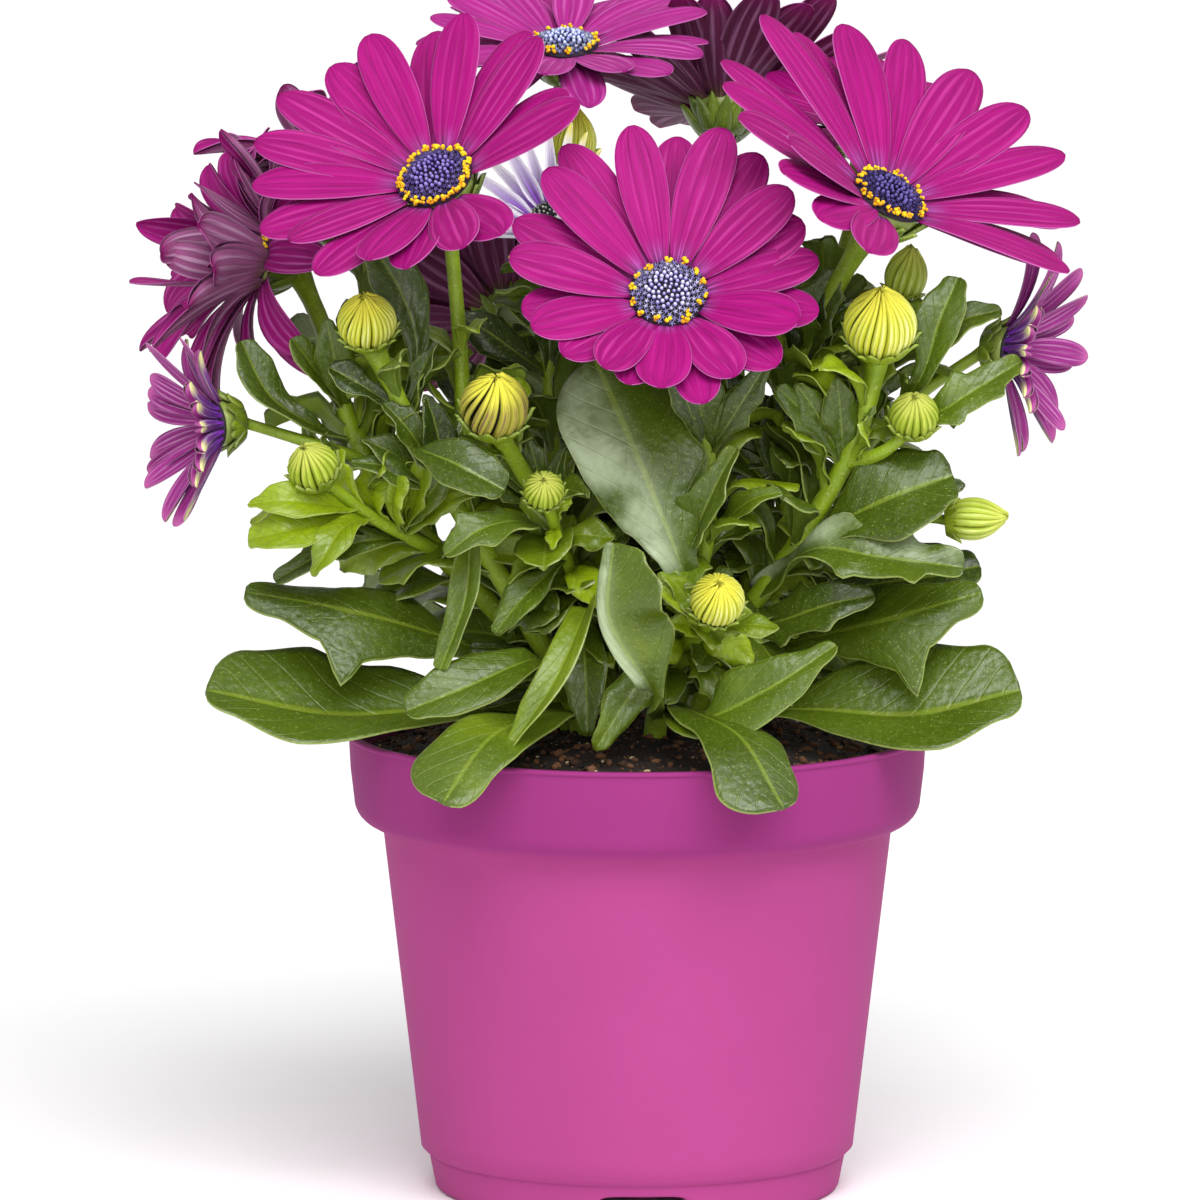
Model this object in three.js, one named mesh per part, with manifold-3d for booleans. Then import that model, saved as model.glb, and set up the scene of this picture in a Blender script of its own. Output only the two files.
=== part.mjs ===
// A potted osteospermum: a plastic plant pot, its soil, and one flowering plant.
// Millimetres, +Z up. The origin is the centre of the pot's base, on the surface it stands on,
// and -Y is the side that the plant is seen from. Every piece is one closed solid.
import * as THREE from 'three';
import { mergeVertices } from 'three/addons/utils/BufferGeometryUtils.js';
import Module from 'manifold-3d';

const wasm = await Module();
wasm.setup();

// ---------------------------------------------------------------- driving dimensions

const GAP = 0.3; // clear space between two pieces that touch on the real plant
const POT = {
  rimRadius: 60,
  height: 96,
  lipHeight: 1.2,
  collarHeight: 19.4,
  collarTaper: 1.5,
  collarCorner: 5,
  bodyTopRadius: 52.6,
  bodyBottomRadius: 44.8,
  footHeight: 8,
  footRadius: 43.2,
  footTaper: 1.2,
  footCorner: 1.5,
  wall: 1.6,
  footWall: 3.6,
  baseLift: 6,
  padRadius: 12,
  notches: 3,
  notchTurn: 1.5,
  notchWidth: 20,
  notchHeight: 5.5,
  notchCorner: 2,
  sides: 36,
};
const SOIL = { wallHeight: 91, crownHeight: 97 };
const STEM_RADIUS = 2.2;
const STALK_RADIUS = 1.6;
const PETAL_THICKNESS = 0.8;
const NOTCH_REACH = 0.55; // how far out the petals of a ring part, as a share of their reach
const TIP_SPREAD = 0.28; // half the width of a petal's blunt tip, as a share of its place in the ring
const LEAF_THICKNESS = 0.9;
const LEAF_CUP = 0.2; // how far the edges of a leaf rise, as a share of their distance from its middle
const HEAD_DEPTH = 9; // from the ring of petals down to the stalk
const HEAD_DOME = 2.5; // how far the disc florets rise above the petals

// Places in millimetres: x to the right, y away from the viewer, z up. Azimuth is the way a head
// looks, 0 towards the viewer and 90 to the right, and elevation is how far it looks up, both in
// degrees. A flower's petals reach so far from its centre, and stand up from flat by its cup, in
// degrees. Its disc is the radius of its middle.
const FLOWERS = [
  {
    name: 'front', at: [6, -40, 190], azimuth: 0, elevation: 40,
    reach: 35, petals: 20, cup: 18, disc: 8,
  },
  {
    name: 'upper_left', at: [-41, -24, 212], azimuth: -26, elevation: 47,
    reach: 38, petals: 18, cup: 18, disc: 8,
  },
  {
    name: 'upper_right', at: [51, -22, 208], azimuth: 48, elevation: 53,
    reach: 40, petals: 18, cup: 16, disc: 8,
  },
  {
    name: 'top', at: [-15, 24, 235], azimuth: 0, elevation: 73,
    reach: 33, petals: 18, cup: 14, disc: 7,
  },
  {
    name: 'top_back', at: [18, 56, 220], azimuth: 172, elevation: 62,
    reach: 35, petals: 18, cup: 16, disc: 7,
  },
  {
    name: 'left', at: [-77, 8, 193], azimuth: -80, elevation: 16,
    reach: 30, petals: 16, cup: 12, disc: 7,
  },
  {
    name: 'left_back', at: [-66, 38, 212], azimuth: -120, elevation: 58,
    reach: 31, petals: 16, cup: 14, disc: 7,
  },
  {
    name: 'low_left', at: [-86, -16, 161], azimuth: -79, elevation: -4,
    reach: 21, petals: 12, cup: 14, disc: 5,
  },
  {
    name: 'low_right', at: [76, -14, 176], azimuth: 79, elevation: -4,
    reach: 18, petals: 12, cup: 14, disc: 5,
  },
  {
    name: 'half_open', at: [-18, 0, 201], azimuth: -25, elevation: 41,
    reach: 18, petals: 12, cup: 46, disc: 5,
  },
  {
    name: 'right_back', at: [47, 29, 219], azimuth: 20, elevation: 74,
    reach: 29, petals: 16, cup: 14, disc: 7,
  },
  {
    name: 'rear', at: [-28, 60, 176], azimuth: 200, elevation: 36,
    reach: 32, petals: 16, cup: 16, disc: 7,
  },
];
const BUDS = [
  { name: 'upper_left', at: [-55, -30, 184], azimuth: -10, elevation: 55, radius: 6, length: 11 },
  { name: 'upper_right', at: [49, -34, 184], azimuth: 0, elevation: 60, radius: 7.5, length: 14 },
  { name: 'middle', at: [-29, -40, 168], azimuth: 5, elevation: 55, radius: 7, length: 13 },
  { name: 'small_middle', at: [-19, -44, 151], azimuth: 0, elevation: 35, radius: 4, length: 7 },
  { name: 'low_front', at: [16, -52, 130], azimuth: 5, elevation: 40, radius: 5.5, length: 10 },
  { name: 'right', at: [56, -32, 165], azimuth: 0, elevation: 50, radius: 5, length: 9 },
  { name: 'low_right', at: [69, -20, 142], azimuth: 84, elevation: 4, radius: 4.3, length: 12 },
  { name: 'left', at: [-66, -36, 155], azimuth: -30, elevation: 50, radius: 5.2, length: 9 },
  { name: 'high_right', at: [55, -8, 191], azimuth: 30, elevation: 70, radius: 4.3, length: 11 },
  { name: 'high_middle', at: [-13, 10, 217], azimuth: 0, elevation: 80, radius: 4.5, length: 12 },
];
// Each shoot is a stem out of the soil with its side stalks. A stalk follows its points and ends
// under the head that it bears.
const SHOOTS = [
  {
    name: 'left',
    stalks: [
      {
        bears: 'flower_left',
        by: [
          [-12, -1, 70], [-15, -3, 100], [-26, -8, 118], [-42, -14, 136], [-57, -14, 156],
          [-64, -3, 178],
        ],
      },
      { bears: 'flower_low_left', by: [[-55, -15, 153], [-66, -18, 157]] },
      { bears: 'bud_left', by: [[-40, -14, 134], [-54, -25, 143]] },
      { bears: 'flower_left_back', by: [[-57, -15, 156], [-56, 12, 184]] },
    ],
  },
  {
    name: 'left_middle',
    stalks: [
      {
        bears: 'bud_upper_left',
        by: [[-9, -9, 70], [-12, -12, 100], [-22, -19, 120], [-35, -23, 142], [-47, -27, 164]],
      },
      { bears: 'flower_upper_left', by: [[-35, -23, 142], [-36, -19, 175]] },
    ],
  },
  {
    name: 'middle',
    stalks: [
      { bears: 'bud_middle', by: [[-3, -4, 70], [-4, -5, 100], [-10, -12, 122], [-18, -22, 142]] },
      { bears: 'bud_small_middle', by: [[-10, -12, 122], [-15, -28, 136]] },
      { bears: 'flower_half_open', by: [[-16, -19, 137], [-18, -4, 168]] },
    ],
  },
  {
    name: 'front',
    stalks: [
      {
        bears: 'flower_front',
        by: [[3, -12, 70], [4, -15, 100], [9, -22, 120], [14, -30, 142], [13, -31, 164]],
      },
      { bears: 'bud_low_front', by: [[8, -20, 115], [13, -35, 121]] },
    ],
  },
  {
    name: 'right',
    stalks: [
      {
        bears: 'bud_upper_right',
        by: [
          [10, -6, 70], [12, -8, 100], [21, -16, 120], [33, -22, 138], [42, -25, 154],
          [47, -29, 168],
        ],
      },
      { bears: 'bud_right', by: [[42, -25, 154], [50, -29, 157]] },
      { bears: 'bud_low_right', by: [[33, -22, 138], [50, -17, 142]] },
      { bears: 'flower_low_right', by: [[41, -25, 152], [56, -17, 166]] },
      { bears: 'bud_high_right', by: [[44, -27, 160], [51, -15, 175]] },
    ],
  },
  {
    name: 'right_middle',
    stalks: [
      {
        bears: 'flower_upper_right',
        by: [[8, 4, 70], [10, 3, 100], [20, -2, 118], [31, -9, 144], [32, -11, 168], [39, -14, 186]],
      },
      { bears: 'flower_right_back', by: [[31, -9, 144], [36, 12, 176], [44, 26, 196]] },
    ],
  },
  {
    name: 'back',
    stalks: [
      {
        bears: 'flower_top',
        by: [[-2, 8, 70], [-3, 10, 100], [-6, 16, 130], [-8, 19, 165], [-13, 26, 204]],
      },
      { bears: 'flower_top_back', by: [[-7, 18, 155], [7, 36, 188]] },
      { bears: 'bud_high_middle', by: [[-9, 20, 172], [-13, 12, 192]] },
    ],
  },
  {
    name: 'rear',
    stalks: [
      {
        bears: 'flower_rear',
        by: [[-9, 14, 70], [-10, 17, 100], [-13, 27, 120], [-18, 38, 144], [-22, 46, 162]],
      },
    ],
  },
];
// A leaf follows its points from the stem to its tip. It faces the way given by azimuth and elevation.
const LEAVES = [
  {
    name: 'low_left', width: 24, azimuth: 5, elevation: 55,
    by: [[-13, -10, 100], [-42, -24, 106], [-64, -30, 109], [-88, -30, 109]],
  },
  {
    name: 'mid_left', width: 22, azimuth: 8, elevation: 50,
    by: [[-16, -6, 107], [-38, -16, 116], [-58, -22, 122], [-80, -22, 127]],
  },
  {
    name: 'low_right', width: 24, azimuth: -5, elevation: 55,
    by: [[13, -9, 101], [36, -24, 106], [55, -30, 109], [78, -30, 109]],
  },
  {
    name: 'mid_right', width: 20, azimuth: -8, elevation: 50,
    by: [[19, -11, 113], [40, -17, 117], [53, -23, 121], [68, -24, 127]],
  },
  {
    name: 'rim_left', width: 17, azimuth: -12, elevation: 50,
    by: [[-12, -12, 101], [-20, -40, 104], [-30, -57, 102], [-39, -69, 91]],
  },
  {
    name: 'rim_right', width: 17, azimuth: 12, elevation: 50,
    by: [[7, -18, 103], [12, -42, 105], [21, -58, 102], [29, -69, 90]],
  },
  {
    name: 'centre', width: 16, azimuth: -50, elevation: 20,
    by: [[4, -16, 101], [3, -46, 110], [-6, -52, 126], [-5, -50, 141]],
  },
  {
    name: 'big_middle', width: 23, azimuth: -12, elevation: 25,
    by: [[10, -24, 128], [8, -34, 137], [-2, -38, 154], [-13, -38, 172]],
  },
  {
    name: 'wide_right', width: 20, azimuth: 10, elevation: 45,
    by: [[24, -18, 126], [36, -30, 137], [49, -35, 136], [66, -36, 134]],
  },
  {
    name: 'front_right', width: 14, azimuth: 10, elevation: 50,
    by: [[5, -18, 104], [13, -44, 104], [26, -50, 111], [40, -49, 120]],
  },
  {
    name: 'front_left', width: 13, azimuth: -10, elevation: 40,
    by: [[-17, -15, 110], [-22, -36, 115], [-34, -44, 111], [-47, -46, 106]],
  },
  {
    name: 'high_left', width: 12, azimuth: -10, elevation: 40,
    by: [[-43, -26, 157], [-44, -35, 158], [-37, -42, 156], [-27, -45, 151]],
  },
  {
    name: 'rear_left', width: 22, azimuth: 190, elevation: 55,
    by: [[-10, 17, 101], [-30, 33, 108], [-52, 48, 114], [-68, 58, 112]],
  },
  {
    name: 'rear_right', width: 22, azimuth: 165, elevation: 55,
    by: [[10, 3, 101], [24, 28, 108], [44, 46, 113], [62, 54, 110]],
  },
  {
    name: 'rear_middle', width: 20, azimuth: 180, elevation: 45,
    by: [[-3, 11, 104], [4, 36, 114], [6, 56, 116], [6, 76, 106]],
  },
  {
    name: 'rear_high', width: 18, azimuth: 170, elevation: 35,
    by: [[-6, 16, 132], [6, 34, 144], [16, 46, 158], [20, 50, 176]],
  },
];
const LEAF_WIDTHS = [0.14, 0.2, 0.5, 0.85, 1, 0.85, 0.35]; // of the full width, from stem to tip

// ---------------------------------------------------------------- materials

const finish = (color, roughness) => new THREE.MeshStandardMaterial({ color, roughness, metalness: 0 });
const FINISHES = {
  pot: () => finish(0xb8308c, 0.45),
  soil: () => finish(0x2a1c14, 0.95),
  stem: () => finish(0x7c9c34, 0.5),
  leaf: () => finish(0x5a7c34, 0.45),
  petals: () => finish(0xb80c7c, 0.6),
  head: () => finish(0x5c54a8, 0.7),
  bud: () => finish(0xc4cc40, 0.6),
};

// ---------------------------------------------------------------- solids

// A closed three.js geometry as a solid that can be joined and cut.
function solidOf(geometry) {
  const bare = geometry.clone();
  bare.deleteAttribute('normal');
  bare.deleteAttribute('uv');
  const merged = mergeVertices(bare, 1e-4);
  const mesh = new wasm.Mesh({
    numProp: 3,
    vertProperties: merged.attributes.position.array,
    triVerts: new Uint32Array(merged.index.array),
  });
  return new wasm.Manifold(mesh);
}

// The triangles of a solid, for a mesh.
function geometryOf(solid) {
  const { vertProperties, triVerts, numProp } = solid.getMesh();
  const positions = new Float32Array((vertProperties.length / numProp) * 3);
  for (let i = 0; i < positions.length / 3; i += 1) {
    positions.set(vertProperties.subarray(i * numProp, i * numProp + 3), i * 3);
  }
  const geometry = new THREE.BufferGeometry();
  geometry.setAttribute('position', new THREE.BufferAttribute(positions, 3));
  geometry.setIndex(new THREE.BufferAttribute(new Uint32Array(triVerts), 1));
  return geometry;
}

// The largest body of a solid that cutting may have left in several.
function largestOf(solid) {
  const bodies = solid.decompose();
  return bodies.reduce((best, body) => (body.volume() > best.volume() ? body : best));
}

function boxesMeet(a, b) {
  return [0, 1, 2].every((i) => a.min[i] <= b.max[i] && b.min[i] <= a.max[i]);
}

// The unit vector that an azimuth and an elevation, in degrees, stand for.
function directionOf(azimuth, elevation) {
  const turn = THREE.MathUtils.degToRad(azimuth);
  const rise = THREE.MathUtils.degToRad(elevation);
  const flat = Math.cos(rise);
  return new THREE.Vector3(Math.sin(turn) * flat, -Math.cos(turn) * flat, Math.sin(rise));
}

// Stands a geometry made about +Z at a place, with its axis along a direction.
function stand(geometry, at, direction) {
  const turn = new THREE.Quaternion().setFromUnitVectors(new THREE.Vector3(0, 0, 1), direction);
  return geometry.applyQuaternion(turn).translate(...at);
}

// A solid of revolution about +Z from a profile of [radius, height] pairs.
function turned(profile, sides) {
  const points = profile.map(([radius, height]) => new THREE.Vector2(radius, height));
  return new THREE.LatheGeometry(points, sides).rotateX(Math.PI / 2);
}

// A round rod along a smooth curve through points.
function rod(points, radius, sides = 6) {
  const curve = new THREE.CatmullRomCurve3(points, false, 'centripetal');
  const circle = new THREE.EllipseCurve(0, 0, radius, radius).getPoints(sides);
  const section = new THREE.Shape(circle.slice(0, sides));
  const steps = Math.max(3, (points.length - 1) * 2);
  return new THREE.ExtrudeGeometry(section, { steps, bevelEnabled: false, extrudePath: curve });
}

// ---------------------------------------------------------------- pot and soil

// The pot's wall as seen from outside, from the foot up to the lip.
function potOutside() {
  const collarBottom = POT.height - POT.collarHeight;
  const collarRadius = POT.rimRadius - POT.collarTaper;
  const corner = POT.collarCorner;
  const arc = [0, 0.35, 0.7, 1].map((part) => {
    const angle = (part * Math.PI) / 2;
    const radius = collarRadius - corner * (1 - Math.sin(angle));
    return [radius, collarBottom + corner * (1 - Math.cos(angle))];
  });
  return [
    [POT.footRadius - POT.footTaper - POT.footCorner, 0],
    [POT.footRadius - POT.footTaper, POT.footCorner],
    [POT.footRadius, POT.footHeight],
    [POT.bodyBottomRadius, POT.footHeight + 1],
    [POT.bodyTopRadius, collarBottom],
    ...arc,
    [POT.rimRadius, POT.height - POT.lipHeight],
    [POT.rimRadius - 0.3, POT.height],
  ];
}

// The radius of the inner face of the pot's wall at a height.
function insideRadius(height) {
  const collarBottom = POT.height - POT.collarHeight;
  const lean = (POT.bodyTopRadius - POT.bodyBottomRadius) / (collarBottom - POT.footHeight);
  return POT.bodyBottomRadius - POT.wall + lean * (height - POT.footHeight);
}

function potSolid() {
  const collarBottom = POT.height - POT.collarHeight;
  const floorTop = POT.baseLift + POT.wall;
  const inside = [
    [POT.rimRadius - POT.wall, POT.height],
    [POT.rimRadius - POT.collarTaper - POT.wall, collarBottom + POT.collarCorner],
    [insideRadius(collarBottom + POT.wall), collarBottom + POT.wall],
    [insideRadius(floorTop), floorTop],
    [0, floorTop],
  ];
  const under = [
    [0, 0],
    [POT.padRadius, 0],
    [POT.padRadius, POT.baseLift],
    [POT.footRadius - POT.footTaper - POT.footWall, POT.baseLift],
    [POT.footRadius - POT.footTaper - POT.footWall, 0],
  ];
  let pot = solidOf(turned([...under, ...potOutside(), ...inside], POT.sides));
  const across = POT.notchWidth / 2;
  const round = POT.notchCorner;
  const notch = new THREE.Shape();
  notch.moveTo(-across, -1);
  notch.lineTo(across, -1);
  notch.absarc(across - round, POT.notchHeight - round, round, 0, Math.PI / 2, false);
  notch.absarc(round - across, POT.notchHeight - round, round, Math.PI / 2, Math.PI, false);
  notch.closePath();
  const depth = POT.footWall * 3;
  for (let i = 0; i < POT.notches; i += 1) {
    const cutter = new THREE.ExtrudeGeometry(notch, { depth, bevelEnabled: false, curveSegments: 4 })
      .translate(0, 0, POT.footRadius - depth * 0.75)
      .rotateX(Math.PI / 2)
      .rotateZ(THREE.MathUtils.degToRad(POT.notchTurn + (i * 360) / POT.notches));
    pot = pot.subtract(solidOf(cutter));
  }
  return pot;
}

function soilSolid() {
  const collarBottom = POT.height - POT.collarHeight;
  const floorTop = POT.baseLift + POT.wall + GAP;
  const ledge = collarBottom + POT.collarCorner + GAP;
  const wallTop = POT.rimRadius - POT.collarTaper - POT.wall - GAP;
  const rise = SOIL.crownHeight - SOIL.wallHeight;
  const crown = [0.75, 0.5, 0.25].map((part) => {
    return [wallTop * part, SOIL.wallHeight + rise * (1 - part * part)];
  });
  const profile = [
    [0, floorTop],
    [insideRadius(floorTop) - GAP, floorTop],
    [insideRadius(collarBottom) - GAP, collarBottom + POT.wall + GAP],
    [wallTop, ledge],
    [wallTop, SOIL.wallHeight],
    ...crown,
    [0, SOIL.crownHeight],
  ];
  return solidOf(turned(profile, POT.sides));
}

// ---------------------------------------------------------------- flowers and buds

// The green cup with the disc of florets on it, made about +Z with the petals' ring at height 0.
function headSolid(flower, grow) {
  const { disc } = flower;
  const profile = [
    [0, -HEAD_DEPTH - grow],
    [STALK_RADIUS + 1 + grow, -HEAD_DEPTH - grow],
    [disc * 0.8 + grow, -HEAD_DEPTH * 0.6],
    [disc + grow, -HEAD_DEPTH * 0.25],
    [disc + grow, HEAD_DOME * 0.3 + grow],
    [disc * 0.6, HEAD_DOME + grow],
    [0, HEAD_DOME + grow],
  ];
  const facing = directionOf(flower.azimuth, flower.elevation);
  return solidOf(stand(turned(profile, 10), flower.at, facing));
}

// How far one petal reaches: no two neighbours are of quite the same length.
function petalReach(flower, index) {
  return flower.reach * (1 - 0.03 * ((index * 5) % 4));
}

// The ring of petals: an outline with a lobe for each petal, bent into a shallow cup.
function petalsSolid(flower, grow) {
  const step = (Math.PI * 2) / flower.petals;
  const outline = [];
  for (let i = 0; i < flower.petals; i += 1) {
    const reach = petalReach(flower, i) + grow;
    const angle = i * step;
    const lobe = [
      [NOTCH_REACH * reach, angle - step * 0.5],
      [reach, angle - step * TIP_SPREAD],
      [reach, angle + step * TIP_SPREAD],
    ];
    for (const [radius, turn] of lobe) {
      outline.push(new THREE.Vector2(radius * Math.cos(turn), radius * Math.sin(turn)));
    }
  }
  const shape = new THREE.Shape(outline);
  const hole = new THREE.EllipseCurve(0, 0, flower.disc + GAP - grow, flower.disc + GAP - grow);
  shape.holes.push(new THREE.Path(hole.getPoints(flower.petals).slice(0, flower.petals)));
  const depth = PETAL_THICKNESS + grow * 2;
  const ring = new THREE.ExtrudeGeometry(shape, { depth, bevelEnabled: false });
  ring.translate(0, 0, -depth / 2);
  const slope = THREE.MathUtils.degToRad(flower.cup);
  const spots = ring.attributes.position;
  for (let i = 0; i < spots.count; i += 1) {
    const out = Math.hypot(spots.getX(i), spots.getY(i)) - flower.disc;
    const pull = (flower.disc + out * Math.cos(slope)) / (flower.disc + out);
    spots.setXYZ(i, spots.getX(i) * pull, spots.getY(i) * pull, spots.getZ(i) + out * Math.sin(slope));
  }
  const facing = directionOf(flower.azimuth, flower.elevation);
  return solidOf(stand(ring, flower.at, facing));
}

// A closed bud, its centre halfway up.
function budSolid(bud, grow) {
  const { radius, length } = bud;
  const half = length / 2;
  const profile = [
    [0, -half - grow],
    [STALK_RADIUS + 0.6 + grow, -half - grow],
    [radius * 0.85 + grow, -half * 0.55],
    [radius + grow, 0],
    [radius * 0.75 + grow, half * 0.65],
    [radius * 0.3, half + grow],
    [0, half + grow],
  ];
  const facing = directionOf(bud.azimuth, bud.elevation);
  return solidOf(stand(turned(profile, 9), bud.at, facing));
}

// ---------------------------------------------------------------- stems and leaves

// Where the stalk meets each flower and bud, just inside its underside.
const seats = new Map();
for (const { name, at, azimuth, elevation } of FLOWERS) {
  const facing = directionOf(azimuth, elevation);
  seats.set(`flower_${name}`, new THREE.Vector3(...at).addScaledVector(facing, 1 - HEAD_DEPTH));
}
for (const { name, at, azimuth, elevation, length } of BUDS) {
  const facing = directionOf(azimuth, elevation);
  seats.set(`bud_${name}`, new THREE.Vector3(...at).addScaledVector(facing, 1 - length / 2));
}

// A stem and its side stalks, joined in one solid.
function shootSolid(shoot, grow) {
  const rods = shoot.stalks.map(({ bears, by }, index) => {
    const points = [...by.map((point) => new THREE.Vector3(...point)), seats.get(bears)];
    const radius = index === 0 ? STEM_RADIUS : STALK_RADIUS;
    return solidOf(rod(points, radius + grow));
  });
  return rods.reduce((whole, part) => whole.add(part));
}

// A blade that follows its points, narrow at the stem, wide beyond the middle and blunt at the tip.
function leafSolid(leaf, grow) {
  const steps = LEAF_WIDTHS.length - 1;
  const spine = new THREE.CatmullRomCurve3(leaf.by.map((point) => new THREE.Vector3(...point)));
  const facing = directionOf(leaf.azimuth, leaf.elevation);
  const blade = new THREE.BoxGeometry(2, 1, 1, 2, steps, 1);
  const spots = blade.attributes.position;
  for (let i = 0; i < spots.count; i += 1) {
    const step = Math.round((spots.getY(i) + 0.5) * steps);
    const along = step / steps;
    const ahead = spine.getTangentAt(along);
    const side = new THREE.Vector3().crossVectors(ahead, facing).normalize();
    const up = new THREE.Vector3().crossVectors(side, ahead);
    const across = spots.getX(i) * ((leaf.width / 2) * LEAF_WIDTHS[step] + grow);
    const lift = Math.abs(across) * LEAF_CUP + spots.getZ(i) * (LEAF_THICKNESS + grow * 2);
    const end = (step === steps ? 1 : 0) - (step === 0 ? 1 : 0);
    const spot = spine.getPointAt(along);
    spot.addScaledVector(side, across).addScaledVector(up, lift).addScaledVector(ahead, end * grow);
    spots.setXYZ(i, spot.x, spot.y, spot.z);
  }
  return solidOf(blade);
}

// ---------------------------------------------------------------- assembly

const plant = new THREE.Group();
plant.name = 'potted_osteospermum';
const kept = [];

// Adds a piece, cut back to a gap from the pieces that stand before it.
function addPiece(name, material, build) {
  const grown = build(GAP);
  const box = grown.boundingBox();
  let solid = build(0);
  for (const other of kept.filter((piece) => boxesMeet(piece.box, box))) {
    solid = solid.subtract(other.grown);
  }
  kept.push({ grown, box });
  const mesh = new THREE.Mesh(geometryOf(largestOf(solid)), material);
  mesh.name = name;
  plant.add(mesh);
}

FLOWERS.forEach((flower) => {
  addPiece(`flower_${flower.name}_head`, FINISHES.head(), (grow) => headSolid(flower, grow));
});
BUDS.forEach((bud) => addPiece(`bud_${bud.name}`, FINISHES.bud(), (grow) => budSolid(bud, grow)));
SHOOTS.forEach((shoot) => {
  addPiece(`stem_${shoot.name}`, FINISHES.stem(), (grow) => shootSolid(shoot, grow));
});
addPiece('soil', FINISHES.soil(), soilSolid);
addPiece('pot', FINISHES.pot(), potSolid);
FLOWERS.forEach((flower) => {
  addPiece(`flower_${flower.name}_petals`, FINISHES.petals(), (grow) => petalsSolid(flower, grow));
});
LEAVES.forEach((leaf) => addPiece(`leaf_${leaf.name}`, FINISHES.leaf(), (grow) => leafSolid(leaf, grow)));

export default plant;
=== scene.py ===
"""A potted osteospermum: the finished look of its pot, its soil and every part of the plant.

Meshes are made in millimetres and brought to metres when they are finished. The pot stands on
z = 0 with its axis on the z axis, and -Y is the side that the plant is seen from.
"""

import logging
import math
import random
from bisect import bisect_left
from collections.abc import Callable, Iterable, Sequence
from dataclasses import dataclass, field, replace
from enum import Enum
from functools import cache, cached_property

import bmesh
import bpy
from mathutils import Matrix, Vector, noise


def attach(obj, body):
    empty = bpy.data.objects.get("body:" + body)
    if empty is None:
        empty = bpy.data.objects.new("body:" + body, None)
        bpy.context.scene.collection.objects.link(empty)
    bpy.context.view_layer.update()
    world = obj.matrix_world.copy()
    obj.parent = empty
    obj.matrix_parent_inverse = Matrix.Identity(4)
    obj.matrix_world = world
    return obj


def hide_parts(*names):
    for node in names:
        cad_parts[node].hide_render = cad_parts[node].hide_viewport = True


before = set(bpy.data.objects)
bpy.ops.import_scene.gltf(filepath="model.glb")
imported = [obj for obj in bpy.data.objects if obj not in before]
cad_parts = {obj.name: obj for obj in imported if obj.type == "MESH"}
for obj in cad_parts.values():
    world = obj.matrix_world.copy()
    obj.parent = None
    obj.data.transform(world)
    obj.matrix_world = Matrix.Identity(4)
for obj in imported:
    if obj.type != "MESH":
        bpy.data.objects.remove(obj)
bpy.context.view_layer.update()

log = logging.getLogger("osteospermum")

MM = 0.001  # one millimetre in metres
BODY = "root"
UV_MAP = "blade"
TONE = "tone"
WELD = 0.0001  # millimetres within which points of a seam are one
GOLDEN_ANGLE = math.pi * (3 - math.sqrt(5))

Colour = tuple[float, float, float, float]
Triple = tuple[float, float, float]
Pair = tuple[float, float]
Profile = Callable[[float], float]  # a size or tone at a share of a length
Socket = bpy.types.NodeSocket
Value = Socket | float | Colour  # what a node's input takes


# ---------------------------------------------------------------- small tools


def tint(red: int, green: int, blue: int) -> Colour:
    """A screen colour, 0 to 255 a channel, as a linear one."""
    return (*(channel_to_linear(c / 255) for c in (red, green, blue)), 1.0)


def channel_to_linear(value: float) -> float:
    """One screen channel, 0 to 1, as linear light."""
    return value / 12.92 if value <= 0.04045 else ((value + 0.055) / 1.055) ** 2.4


def shaded(colour: Colour, factor: float) -> Colour:
    """A colour made lighter or darker."""
    return (*(min(1.0, channel * factor) for channel in colour[:3]), 1.0)


def ease(low: float, high: float, value: float) -> float:
    """A smooth step from 0 at low to 1 at high."""
    share = min(1.0, max(0.0, (value - low) / (high - low)))
    return share * share * (3 - 2 * share)


def blend(a: float, b: float, share: float) -> float:
    """The value that lies a share of the way from a to b."""
    return a + (b - a) * share


def quarter(share: float) -> float:
    """The sine of a share of a quarter turn: from 0 to 1, ever more slowly."""
    return math.sin(math.pi / 2 * share)


def direction(azimuth: float, elevation: float) -> Vector:
    """The unit vector of an azimuth, 0 to the front and 90 to the right, and an elevation."""
    turn, rise = math.radians(azimuth), math.radians(elevation)
    return Vector((math.sin(turn) * math.cos(rise), -math.cos(turn) * math.cos(rise), math.sin(rise)))


def twisted(across: Vector, up: Vector, angle: float) -> tuple[Vector, Vector]:
    """Two axes at right angles, turned in their own plane by an angle in radians."""
    near, far = math.cos(angle), math.sin(angle)
    return across * near + up * far, up * near - across * far


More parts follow.
